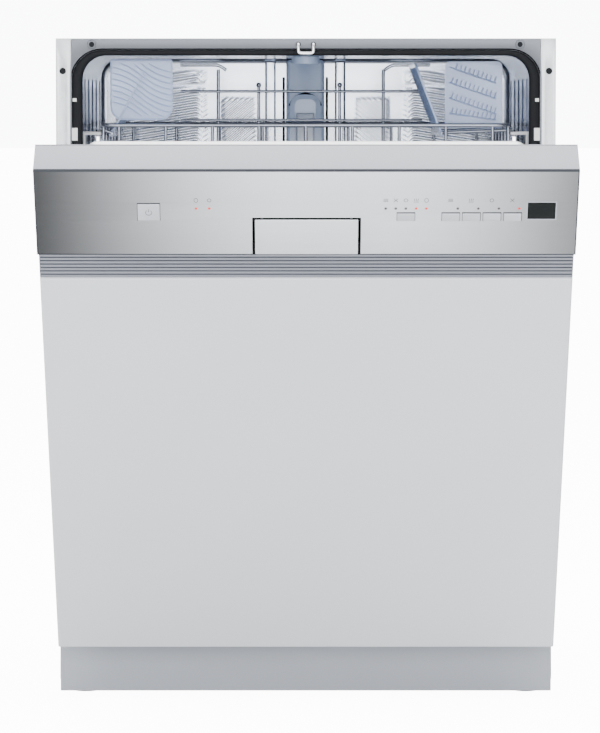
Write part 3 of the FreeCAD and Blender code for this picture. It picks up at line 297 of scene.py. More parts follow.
BLUE_PLASTIC = Finish("blue_translucent", (0.58, 0.68, 0.86), 0.22, 0.0, Pattern.MOULDED, 300.0, 0.08, 0.06, 0.03,
                      0.3, 0.35)
# Brushed steel with painted shade darkening it towards both ends.
FASCIA_STEEL = Finish("fascia_steel", (0.90, 0.93, 0.98), 0.30, 0.9, Pattern.BRUSHED_X, 2600.0, 0.035, 0.08, 0.03,
                      painted_end_shade=0.95)
KEY_METAL = Finish("key_metal", (0.60, 0.62, 0.67), 0.32, 0.6, Pattern.BRUSHED_X, 2600.0, 0.03, 0.05, 0.02)
RIDGE_METAL = Finish("ridged_aluminium", (0.28, 0.295, 0.34), 0.36, 0.7, Pattern.BRUSHED_X, 2000.0, 0.04, 0.06, 0.02)
GLASS_DARK = Finish("display_glass", (0.010, 0.012, 0.012), 0.3, 0.0, Pattern.PLAIN, 300.0, 0.1, 0.04, 0.0,
                    specular=0.1)
PRINT_DARK = Finish("printed_mark", (0.05, 0.055, 0.065), 0.5, 0.0, Pattern.PLAIN, 900.0, 0.1, 0.05, 0.0)
LAMP_RED = Finish("lamp_red", (0.75, 0.06, 0.04), 0.25, 0.0, Pattern.PLAIN, 900.0, 0.05, 0.04, 0.0, glow=0.6)
LAMP_OFF = Finish("lamp_off", (0.10, 0.09, 0.10), 0.25, 0.0, Pattern.PLAIN, 900.0, 0.05, 0.04, 0.0)
BOARD_GREEN = Finish("circuit_board", (0.02, 0.12, 0.06), 0.4, 0.0, Pattern.PLAIN, 500.0, 0.2, 0.08, 0.05)
# Near-black finish for painted shade in holes, slots, seams and channels, also used for dark parts: the unlit digits
# and the latch housing.
SHADE_AND_DARK_PARTS = Finish("painted_shade_and_dark_parts", (0.012, 0.013, 0.016), 0.6, 0.0, Pattern.MOULDED, 1500.0, 0.1, 0.06, 0.02,
                  specular=0.1)


# ------------------------------------------------------------------ shaping
class Turn(Enum):
    """Where a piece is drawn: as it stands, or on the shut door."""

    AS_IS = "as_is"
    ON_DOOR = "on_door"


def joint_named(name: str) -> dict:
    """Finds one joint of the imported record."""
    return next(j for j in frame["record"]["behaviour"]["joints"] if j["name"] == name)


HINGE = Vector(joint_named("door_hinge")["pos_m"])
OPENING_ANGLE = -math.radians(joint_named("door_hinge")["range_deg"][0])
DOOR_TURN = Matrix.Translation(HINGE) @ Matrix.Rotation(OPENING_ANGLE, 4, "X") @ Matrix.Translation(-HINGE)


def finish_piece(bm: bmesh.types.BMesh, name: str, body: str, finish: Finish, turn: Turn = Turn.AS_IS,
                 smooth: float = 35.0, replaces: Sequence[str] = ()) -> bpy.types.Object:
    """Turns a bmesh into a dressed object that rides on a body.

    Args:
        bm: the shape; it is freed here.
        name: the piece's name.
        body: the body it rides on.
        finish: its finish.
        turn: whether it was drawn on the shut door.
        smooth: edges sharper than this many degrees stay crisp.
        replaces: CAD nodes that it stands for.

    Returns:
        The new object.
    """
    if turn is Turn.ON_DOOR:
        bmesh.ops.transform(bm, matrix=DOOR_TURN, verts=bm.verts)
    bmesh.ops.recalc_face_normals(bm, faces=bm.faces)
    mesh = bpy.data.meshes.new(name)
    bm.to_mesh(mesh)
    bm.free()
    for polygon in mesh.polygons:
        polygon.use_smooth = True
    mesh.set_sharp_from_angle(angle=math.radians(smooth))
    mesh.materials.append(finish.material())
    piece = bpy.data.objects.new(name, mesh)
    bpy.context.scene.collection.objects.link(piece)
    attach(piece, body)
    if replaces:
        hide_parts(*replaces)
    log.info("%s: %d faces on %s", name, len(mesh.polygons), body)
    return piece


def add_block(bm: bmesh.types.BMesh, low: Point, high: Point) -> list[bmesh.types.BMVert]:
    """Adds a block between two corners and returns its vertices."""
    made = bmesh.ops.create_cube(bm, size=1.0)["verts"]
    size = Vector(high) - Vector(low)
    middle = (Vector(high) + Vector(low)) / 2
    bmesh.ops.scale(bm, vec=size, verts=made)
    bmesh.ops.translate(bm, vec=middle, verts=made)
    return made


def bevel_edges(bm: bmesh.types.BMesh, edges: Sequence[bmesh.types.BMEdge], radius: float, segments: int = 2) -> None:
    """Rounds the given edges."""
    bmesh.ops.bevel(bm, geom=list(edges), offset=radius, offset_type="OFFSET", segments=segments,
                    profile=0.5, affect="EDGES", material=-1, clamp_overlap=True)


def sharp_edges(bm: bmesh.types.BMesh, angle: float = 40.0) -> list[bmesh.types.BMEdge]:
    """Edges where two faces meet at more than an angle in degrees."""
    bm.normal_update()
    return [e for e in bm.edges if len(e.link_faces) == 2 and e.calc_face_angle(0) > math.radians(angle)]


def edges_along(verts: Sequence[bmesh.types.BMVert], axis: int) -> list[bmesh.types.BMEdge]:
    """Edges of a block that run along one axis."""
    edges = {e for v in verts for e in v.link_edges}
    found = []
    for edge in edges:
        way = edge.verts[1].co - edge.verts[0].co
        if abs(way[axis]) > 0.999 * way.length:
            found.append(edge)
    return found


def soft_block(low: Point, high: Point, radius: float, segments: int = 2) -> bmesh.types.BMesh:
    """A block with all its edges rounded."""
    bm = bmesh.new()
    add_block(bm, low, high)
    bevel_edges(bm, list(bm.edges), radius, segments)
    return bm


def rounded_outline(x0: float, x1: float, z0: float, z1: float, top: float, bottom: float,
                    steps: int = 10) -> list[tuple[float, float]]:
    """Outline of an upright rectangle with rounded corners, anticlockwise from the lower left.

    Args:
        x0: left side.
        x1: right side.
        z0: lower side.
        z1: upper side.
        top: radius of the upper corners.
        bottom: radius of the lower corners.
        steps: steps in each corner's arc.

    Returns:
        Points (x, z).
    """
    corners = ((x0 + bottom, z0 + bottom, bottom, 180), (x1 - bottom, z0 + bottom, bottom, 270),
               (x1 - top, z1 - top, top, 0), (x0 + top, z1 - top, top, 90))
    points = []
    for cx, cz, r, start in corners:
        for k in range(steps + 1):
            a = math.radians(start + 90 * k / steps)
            points.append((cx + r * math.cos(a), cz + r * math.sin(a)))
    return points


def ring_of(bm: bmesh.types.BMesh, outline: Sequence[tuple[float, float]], y: float) -> list[bmesh.types.BMVert]:
    """Puts an outline's points at one depth."""
    return [bm.verts.new((x, y, z)) for x, z in outline]


def skin(bm: bmesh.types.BMesh, rings: Sequence[Sequence[bmesh.types.BMVert]], closed: bool = True,
         looped: bool = False) -> None:
    """Joins rings of equally many vertices with quads.

    Args:
        bm: the shape.
        rings: the rings, in order.
        closed: whether each ring closes on itself.
        looped: whether the last ring joins the first.
    """
    pairs = list(zip(rings, rings[1:]))
    if looped:
        pairs.append((rings[-1], rings[0]))
    for one, two in pairs:
        count = len(one)
        for k in range(count if closed else count - 1):
            nxt = (k + 1) % count
            bm.faces.new((one[k], one[nxt], two[nxt], two[k]))


def pan_shape(outlines: Sequence[tuple[Sequence[tuple[float, float]], float]], cap: bool = True) -> bmesh.types.BMesh:
    """Sheet pressed through a run of outlines, each at its own depth.

    Args:
        outlines: pairs of outline and depth, from the rim to the bottom.
        cap: whether the last outline is filled.

    Returns:
        The open sheet.
    """
    bm = bmesh.new()
    rings = [ring_of(bm, outline, y) for outline, y in outlines]
    skin(bm, rings)
    if cap:
        bm.faces.new(rings[-1])
    return bm


def thicken(bm: bmesh.types.BMesh, thickness: float, outward: Vector) -> None:
    """Gives an open sheet its thickness, away from the side that is seen.

    Args:
        bm: the sheet.
        thickness: how thick it gets.
        outward: the way that its largest face looks.
    """
    bmesh.ops.recalc_face_normals(bm, faces=bm.faces)
    bm.normal_update()
    widest = max(bm.faces, key=lambda f: f.calc_area())
    if widest.normal.dot(outward) < 0:
        bmesh.ops.reverse_faces(bm, faces=bm.faces)
    bmesh.ops.solidify(bm, geom=list(bm.faces), thickness=thickness)


def cut_away(bm: bmesh.types.BMesh, low: tuple[float, float], high: tuple[float, float]) -> None:
    """Cuts an upright rectangle out of a sheet.

    Args:
        bm: the sheet.
        low: lower left corner (x, z).
        high: upper right corner (x, z).
    """
    for normal, cuts in ((Vector((1, 0, 0)), (low[0], high[0])), (Vector((0, 0, 1)), (low[1], high[1]))):
        for cut in cuts:
            bmesh.ops.bisect_plane(bm, geom=[*bm.verts, *bm.edges, *bm.faces], dist=1e-7,
                                   plane_co=normal * cut, plane_no=normal)
    gone = []
    for face in bm.faces:
        c = face.calc_center_median()
        if low[0] < c.x < high[0] and low[1] < c.z < high[1]:
            gone.append(face)
    bmesh.ops.delete(bm, geom=gone, context="FACES")


def merge_into(bm: bmesh.types.BMesh, *others: bmesh.types.BMesh) -> None:
    """Moves the geometry of other shapes into one."""
    for other in others:
        bmesh.ops.recalc_face_normals(other, faces=other.faces)
        mesh = bpy.data.meshes.new("moved")
        other.to_mesh(mesh)
        other.free()
        bm.from_mesh(mesh)
        bpy.data.meshes.remove(mesh)


BODY_OF = {node: body for body, nodes in frame["record"]["behaviour"]["bodies"].items() for node in nodes}


def soften(node: str, finish: Finish, radius: float, angle: float = 32.0) -> bpy.types.Object:
    """Redraws a node's solid with rounded edges.

    Args:
        node: the CAD node.
        finish: its finish.
        radius: radius of the rounded edges.
        angle: edges sharper than this many degrees are rounded.

    Returns:
        The new object.
    """
    bm = bmesh.new()
    bm.from_mesh(frame["nodes"][node].data)
    bmesh.ops.remove_doubles(bm, verts=bm.verts, dist=2e-6)
    bmesh.ops.dissolve_limit(bm, angle_limit=math.radians(1.0), verts=bm.verts, edges=bm.edges)
    bevel_edges(bm, sharp_edges(bm, angle), radius, 2)
    return finish_piece(bm, f"{node}_soft", BODY_OF[node], finish, replaces=[node])


def plate_with_holes(x0: float, x1: float, z0: float, z1: float, y: float, depth: float,
                     holes: Sequence[tuple[float, float, float, float]]) -> bmesh.types.BMesh:
    """Flat upright plate with rectangular holes.

    Args:
        x0: left side.
        x1: right side.
        z0: lower side.
        z1: upper side.
        y: depth of the front face.
        depth: thickness, towards +Y.
        holes: (x0, x1, z0, z1) of each hole.

    Returns:
        The plate.
    """
    bm = bmesh.new()
    corners = [bm.verts.new((x, y, z)) for x, z in ((x0, z0), (x1, z0), (x1, z1), (x0, z1))]
    bm.faces.new(corners)
    cuts_x = {v for h in holes for v in h[:2] if x0 < v < x1}
    cuts_z = {v for h in holes for v in h[2:] if z0 < v < z1}
    for cuts, normal in ((cuts_x, Vector((1, 0, 0))), (cuts_z, Vector((0, 0, 1)))):
        for cut in sorted(cuts):
            bmesh.ops.bisect_plane(bm, geom=[*bm.verts, *bm.edges, *bm.faces], dist=1e-7,
                                   plane_co=normal * cut, plane_no=normal)
    gone = []
    for face in bm.faces:
        c = face.calc_center_median()
        if any(h[0] < c.x < h[1] and h[2] < c.z < h[3] for h in holes):
            gone.append(face)
    bmesh.ops.delete(bm, geom=gone, context="FACES")
    made = bmesh.ops.extrude_face_region(bm, geom=list(bm.faces))["geom"]
    bmesh.ops.translate(bm, vec=(0, depth, 0), verts=[v for v in made if isinstance(v, bmesh.types.BMVert)])
    return bm


def add_disc(bm: bmesh.types.BMesh, centre: Point, radius: float, depth: float, axis: Vector, sides: int = 24,
             taper: float = 1.0) -> list[bmesh.types.BMVert]:
    """Adds a round plug that grows from a point along an axis.

    Args:
        bm: the shape.
        centre: middle of the near face.
        radius: its radius.
        depth: its length.
        axis: the way it grows.
        sides: facets.
        taper: far radius as a share of the near one.

    Returns:
        The new vertices.
    """
    made = bmesh.ops.create_cone(bm, cap_ends=True, segments=sides, radius1=radius, radius2=radius * taper,
                                 depth=depth)["verts"]
    turn = Vector((0, 0, 1)).rotation_difference(axis).to_matrix().to_4x4()
    middle = Vector(centre) + axis.normalized() * depth / 2
    bmesh.ops.transform(bm, matrix=Matrix.Translation(middle) @ turn, verts=made)
    return made


def bent_wire(bm: bmesh.types.BMesh, points: Sequence[Point], radius: float, bend: float = 0.008,
              closed: bool = False, sides: int = 8) -> None:
    """Adds a round wire along straight runs joined by smooth bends.

    Args:
        bm: the shape that it joins.
        points: corners of the route.
        radius: the wire's radius.
        bend: radius of its bends.
        closed: whether the wire closes on itself.
        sides: facets round the wire.
    """
    corners = [Vector(p) for p in points]
    path: list[Vector] = []
    count = len(corners)
    for k, corner in enumerate(corners):
        if not closed and k in (0, count - 1):
            path.append(corner)
            continue
        before = corners[k - 1] - corner
        after = corners[(k + 1) % count] - corner
        reach = min(bend, 0.45 * before.length, 0.45 * after.length)
        start = corner + before.normalized() * reach
        stop = corner + after.normalized() * reach
        for t in (0.0, 0.25, 0.5, 0.75, 1.0):
            path.append(start.lerp(corner, t).lerp(corner.lerp(stop, t), t))
    rings = []
    total = len(path)
    side = None
    for k, here in enumerate(path):
        ahead = path[(k + 1) % total] if closed or k < total - 1 else here
        behind = path[k - 1] if closed or k > 0 else here
        way = (ahead - behind).normalized()
        if side is None:
            side = way.orthogonal().normalized()
        side = (side - way * side.dot(way)).normalized()
        other = way.cross(side)
        ring = []
        for s in range(sides):
            a = 2 * math.pi * s / sides
            ring.append(bm.verts.new(here + (side * math.cos(a) + other * math.sin(a)) * radius))
        rings.append(ring)
    if closed:
        first = rings[0]
        gaps = [min(range(sides), key=lambda s: (rings[-1][0].co - first[s].co).length)][0]
        skin(bm, rings)
        last = rings[-1]
        for s in range(sides):
            bm.faces.new((last[s], last[(s + 1) % sides], first[(s + 1 + gaps) % sides], first[(s + gaps) % sides]))
        return
    skin(bm, rings)
    bm.faces.new(list(reversed(rings[0])))
    bm.faces.new(rings[-1])


def spread(a: float, b: float, count: int) -> list[float]:
    """Evenly spaced places from a to b."""
    return [a + (b - a) * k / (count - 1) for k in range(count)]


def dress(nodes: dict[str, Finish]) -> None:
    """Gives kept CAD nodes their materials."""
    for name, finish in nodes.items():
        piece = frame["nodes"][name]
        piece.data.materials.clear()
        piece.data.materials.append(finish.material())
        log.info("%s: dressed in %s", name, finish.name)


# ------------------------------------------------------------------ cabinet front
@dataclass
class FrontFrame:
    """Steel frame round the tub's mouth, its rubber seal and the striker loop."""

    half_width: float = 280.6 * MM
    open_x: float = 279.6 * MM
    open_top: float = 783.6 * MM
    open_bottom: float = 132 * MM
    corner: float = 36 * MM
    channel: float = 12 * MM
    seal_side: float = 12.6 * MM
    seal_top: float = 6.2 * MM
    top: float = 798 * MM
    sill: float = 118 * MM
    hole_x: float = 256 * MM
    hole_z: float = 790.8 * MM
    striker_x: float = 9 * MM

    def opening(self, grow: float = 0.0) -> list[tuple[float, float]]:
        """Outline of the mouth, larger all round by grow."""
        return rounded_outline(-self.open_x - grow, self.open_x + grow, self.open_bottom - grow, self.open_top + grow,
                               self.corner + grow, 6 * MM)

    def mouth(self) -> list[tuple[float, float]]:
        """Outline of the tub inside the seal channel."""
        x = self.open_x - self.seal_side + 1.5 * MM
        return rounded_outline(-x, x, 146 * MM, self.open_top - self.seal_top + 1.6 * MM, 26 * MM, 6 * MM)

    def build_frame(self) -> None:
        """Pressed steel: flat front, a raised lip and the channel behind it, and a bright film on the lip as its
        painted highlight.
        """
        edge = rounded_outline(-self.half_width, self.half_width, self.sill, self.top, 0.6 * MM, 0.6 * MM)
        bm = pan_shape([(edge, 1.2 * MM), (edge, 0.6 * MM), (self.opening(3.4 * MM), 0.6 * MM),
                        (self.opening(2.4 * MM), 0.1 * MM), (self.opening(0.6 * MM), 0.1 * MM),
                        (self.opening(), 1.0 * MM), (self.opening(), self.channel - 1 * MM),
                        (self.mouth(), self.channel - 0.6 * MM)], cap=False)
        thicken(bm, 0.5 * MM, Vector((0, -1, 0)))
        finish_piece(bm, "front_frame_steel", "cabinet", FRAME_STEEL, replaces=["tub_front_frame"])
        # Painted highlight: a thin bright film along the raised lip.
        lip_highlight = pan_shape([(self.opening(2.3 * MM), 0.0), (self.opening(0.7 * MM), 0.0)], cap=False)
        bmesh.ops.solidify(lip_highlight, geom=list(lip_highlight.faces), thickness=0.08 * MM)
        finish_piece(lip_highlight, "mouth_lip_highlight", "cabinet", CHROME)

    def build_seal(self) -> None:
        """Hollow bead with a foot, up one side, across and down the other."""
        outer = self.opening(-0.2 * MM)
        inner = rounded_outline(-self.open_x + self.seal_side, self.open_x - self.seal_side, self.open_bottom,
                                self.open_top - self.seal_top, self.corner - 8 * MM, 6 * MM)
        steps = len(outer) // 4
        order = range(steps * 2, steps * 4)
        profile = ((0.0, 11.0), (0.0, 0.6), (0.12, -0.9), (0.3, -2.0), (0.5, -2.5), (0.72, -2.2), (0.9, -1.2),
                   (1.0, 0.4), (1.0, 6.0), (0.8, 11.0))
        low = 150 * MM
        pairs = [((self.open_x - 0.2 * MM, low), (self.open_x - self.seal_side, low))]
        pairs += [(outer[k], inner[k]) for k in order]
        pairs += [((-self.open_x + 0.2 * MM, low), (-self.open_x + self.seal_side, low))]
        bm = bmesh.new()
        rings = []
        for (ox, oz), (ix, iz) in pairs:
            rings.append([bm.verts.new((ox + (ix - ox) * t, y * MM, oz + (iz - oz) * t)) for t, y in profile])
        skin(bm, rings)
        bm.faces.new(list(reversed(rings[0])))
        bm.faces.new(rings[-1])
        finish_piece(bm, "tub_seal_bead", "cabinet", SEAL, smooth=60, replaces=["tub_gasket"])

    def build_fittings(self) -> None:
        """Striker loop and the embossed screw holes."""
        bm = bmesh.new()
        z0 = self.hole_z - 11 * MM
        y = -10 * MM
        bent_wire(bm, [(-self.striker_x, 5 * MM, self.hole_z), (-self.striker_x, y, self.hole_z),
                       (-self.striker_x, y, z0), (self.striker_x, y, z0), (self.striker_x, y, self.hole_z),
                       (self.striker_x, 5 * MM, self.hole_z)], 2 * MM, 4 * MM, sides=12)
        finish_piece(bm, "striker_wire", "cabinet", CHROME, smooth=60, replaces=["striker_loop"])
        holes = bmesh.new()
        for x, z, r in ((-self.hole_x, self.hole_z, 3.2), (self.hole_x, self.hole_z, 3.2),
                        (-290.75 * MM, 759 * MM, 4.0), (290.75 * MM, 759 * MM, 4.0),
                        (-self.striker_x, self.hole_z, 3.0), (self.striker_x, self.hole_z, 3.0)):
            add_disc(holes, (x, 0.45 * MM, z), r * MM, 0.4 * MM, Vector((0, -1, 0)), 20)
        finish_piece(holes, "screw_hole_shadows", "cabinet", SHADE_AND_DARK_PARTS)
        rims = bmesh.new()
        for x in (-self.hole_x, self.hole_x):
            circle = [(x + 5.2 * MM * math.cos(a), y, self.hole_z + 5.2 * MM * math.sin(a))
                      for a in spread(0, 2 * math.pi, 25)[:-1] for y in (0.35 * MM,)]
            bent_wire(rims, circle, 0.45 * MM, 1 * MM, closed=True, sides=6)
        finish_piece(rims, "screw_hole_rims", "cabinet", FRAME_STEEL, smooth=60)
        clips = bmesh.new()
        for side in (-1, 1):
            x = side * (self.open_x - 3.2 * MM)
            add_block(clips, (x - 2.2 * MM, -2.9 * MM, 722.5 * MM), (x + 2.2 * MM, -2.2 * MM, 726.5 * MM))
            add_block(clips, (x - 3.4 * MM, -2.9 * MM, 676 * MM), (x + 3.4 * MM, -2.0 * MM, 691 * MM))
        bevel_edges(clips, list(clips.edges), 0.25 * MM, 1)
        finish_piece(clips, "seal_clips", "cabinet", WHITE_PLASTIC)

    def build(self) -> None:
        """Builds all the pieces of the front frame."""
        self.build_frame()
        self.build_seal()
        self.build_fittings()


# ------------------------------------------------------------------ tub
@dataclass
class Tub:
    """Pressed stainless tub: wrapper, ribbed back panel, floor and the water duct."""

    half: float = 268.5 * MM
    roof: float = 779 * MM
    floor: float = 146 * MM
    front: float = 12 * MM
    back: float = 492 * MM
    duct_half: float = 25 * MM
    duct_front: float = 478 * MM
    patch_low: float = 520 * MM
    patch_high: float = 768 * MM
    bands: tuple[tuple[float, float], ...] = ((520 * MM, 742 * MM), (746 * MM, 764 * MM))

    def build_wrapper(self) -> None:
        """Sides and roof from one sheet, rounded into the back."""
        bm = bmesh.new()
        turn = 6 * MM
        stations = [(self.front, 0.0), (self.back - turn, 0.0)]
        for k in range(1, 7):
            a = math.radians(15 * k)
            stations.append((self.back - turn + turn * math.sin(a), turn * (1 - math.cos(a))))
        rings = []
        for y, inset in stations:
            x, top = self.half - inset, self.roof - inset
            outline = rounded_outline(-x, x, self.floor, top, 26 * MM, 1 * MM)
            quarter = len(outline) // 4
            arch = [(x, self.floor), *outline[2 * quarter:], (-x, self.floor)]
            rings.append(ring_of(bm, arch, y))
        skin(bm, rings, closed=False)
        ribs = self.side_ribs(bm)
        log.debug("side ribs: %d", ribs)
        bmesh.ops.solidify(bm, geom=list(bm.faces), thickness=0.6 * MM)
        finish_piece(bm, "tub_wrapper_sheet", "cabinet", TUB_STEEL, smooth=50,
                     replaces=["tub_side_walls", "tub_roof"])

    def side_ribs(self, bm: bmesh.types.BMesh) -> int:
        """Adds pressed vertical beads to both sides and returns how many."""
        count = 0
        for side in (-1, 1):
            for y in spread(70 * MM, 430 * MM, 5):
                x = side * (self.half - 0.2 * MM)
                verts = add_disc(bm, (x, y, 560 * MM), 5 * MM, 190 * MM, Vector((0, 0, 1)), 16)
                bmesh.ops.scale(bm, vec=(0.28, 1, 1), verts=verts, space=Matrix.Translation((-x, -y, 0)))
                count += 1
        return count

    def relief(self, x: float, z: float) -> float:
        """Height of the pressed pattern on the back panel at one place."""
        ax = abs(x)
        height = 0.0
        for low, high in self.bands:
            if 129 * MM < ax < 250 * MM and low < z < high:
                drop = max(0.0, 145 * MM - ax)
                phase = (z - 0.16 * (250 * MM - ax) + drop * drop / (9 * MM)) / (6.6 * MM)
                soft = min(1.0, (ax - 129 * MM) / (5 * MM), (250 * MM - ax) / (7 * MM))
                edge = min(1.0, (high - z) / (4 * MM), (z - low) / (4 * MM))
                height = (0.5 + 0.5 * math.cos(2 * math.pi * phase)) * soft * edge * 1.1 * MM
        if 66 * MM < ax < 111 * MM and self.patch_low < z < 729 * MM:
            phase = (z - 0.85 * (111 * MM - ax)) / (6.0 * MM)
            soft = min(1.0, (ax - 66 * MM) / (4 * MM), (111 * MM - ax) / (4 * MM))
            edge = min(1.0, (729 * MM - z) / (4 * MM), (z - self.patch_low) / (6 * MM))
            height = (0.5 + 0.5 * math.cos(2 * math.pi * phase)) * soft * edge * 1.4 * MM
        return height

    def build_back(self) -> None:
        """Back panel with its fields of pressed waves."""
        x1, top = self.half - 5 * MM, self.roof - 5 * MM
        bm = bmesh.new()
        for side in (-1, 1):
            low_x, high_x = sorted((side * 60 * MM, side * x1))
            width, height = high_x - low_x, self.patch_high - self.patch_low
            grid = bmesh.ops.create_grid(bm, x_segments=110, y_segments=150, size=0.5)["verts"]
            for vert in grid:
                x = low_x + (vert.co.x + 0.5) * width
                z = self.patch_low + (vert.co.y + 0.5) * height
                vert.co = Vector((x, self.back - self.relief(x, z), z))
        plate = plate_with_holes(-x1, x1, self.floor, top, self.back, 0.5 * MM,
                                 [(-x1 - 1, -60 * MM, self.patch_low, self.patch_high),
                                  (60 * MM, x1 + 1, self.patch_low, self.patch_high)])
        merge_into(bm, plate)
        for side in (-1, 1):
            for x, half in ((46 * MM, 7 * MM),):
                verts = add_block(bm, (side * x - half, self.back - 5 * MM, self.floor + 30 * MM),
                                  (side * x + half, self.back + 0.4 * MM, top))
                bevel_edges(bm, edges_along(verts, 2), 2.5 * MM, 3)
            ledge = [(side * 165 * MM, self.back - 1 * MM, 771 * MM), (side * 114 * MM, self.back - 1 * MM, 771 * MM),
                     (side * 104 * MM, self.back - 1 * MM, 764 * MM)]
            bent_wire(bm, ledge, 2.2 * MM, 12 * MM)
        bmesh.ops.recalc_face_normals(bm, faces=bm.faces)
        finish_piece(bm, "tub_back_panel", "cabinet", TUB_STEEL, smooth=60, replaces=["tub_back_wall"])

    def build_duct(self) -> None:
        """Translucent riser, its dock for the upper arm, and the run to the ceiling spray."""
        bm = soft_block((-self.duct_half, self.duct_front, self.floor + 1 * MM),
                        (self.duct_half, self.back - 0.5 * MM, self.roof - 1 * MM), 5 * MM, 4)
        run = soft_block((-16 * MM, 252 * MM, self.roof - 6 * MM), (16 * MM, self.duct_front + 2 * MM, self.roof - 0.5 * MM),
                         2 * MM, 3)
        dock = bmesh.new()
        outline = rounded_outline(-20 * MM, 20 * MM, 692 * MM, 732 * MM, 14 * MM, 4 * MM, 8)
        inner = rounded_outline(-14 * MM, 14 * MM, 693 * MM, 726 * MM, 9 * MM, 3 * MM, 8)
        y1 = self.duct_front
        rings = [ring_of(dock, o, y) for o, y in ((outline, y1), (outline, y1 - 12 * MM), (inner, y1 - 13.6 * MM),
                                                  (inner, y1 - 9 * MM))]
        skin(dock, rings)
        dock.faces.new(rings[-1])
        merge_into(bm, run, dock)
        add_disc(bm, (0, 250 * MM, self.roof - 9 * MM), 17.5 * MM, 8.5 * MM, Vector((0, 0, 1)), 32)
        finish_piece(bm, "water_riser", "cabinet", RISER_PLASTIC, smooth=40, replaces=["water_duct"])
        lines = bmesh.new()
        for x in (-28.5 * MM, 28.5 * MM):
            add_block(lines, (x - 1.6 * MM, self.back - 3 * MM, self.floor + 20 * MM),
                      (x + 1.6 * MM, self.back - 0.2 * MM, self.roof - 24 * MM))
        arc = [(21.5 * MM * math.cos(a), self.duct_front - 8 * MM, 712 * MM + 21.5 * MM * math.sin(a))
               for a in spread(math.radians(15), math.radians(165), 13)]
        bent_wire(lines, arc, 1.1 * MM, 4 * MM, sides=8)
        finish_piece(lines, "riser_channel_shadows", "cabinet", SHADE_AND_DARK_PARTS)

    def build(self) -> None:
        """Builds all the pieces of the tub."""
        self.build_wrapper()
        self.build_back()
        self.build_duct()


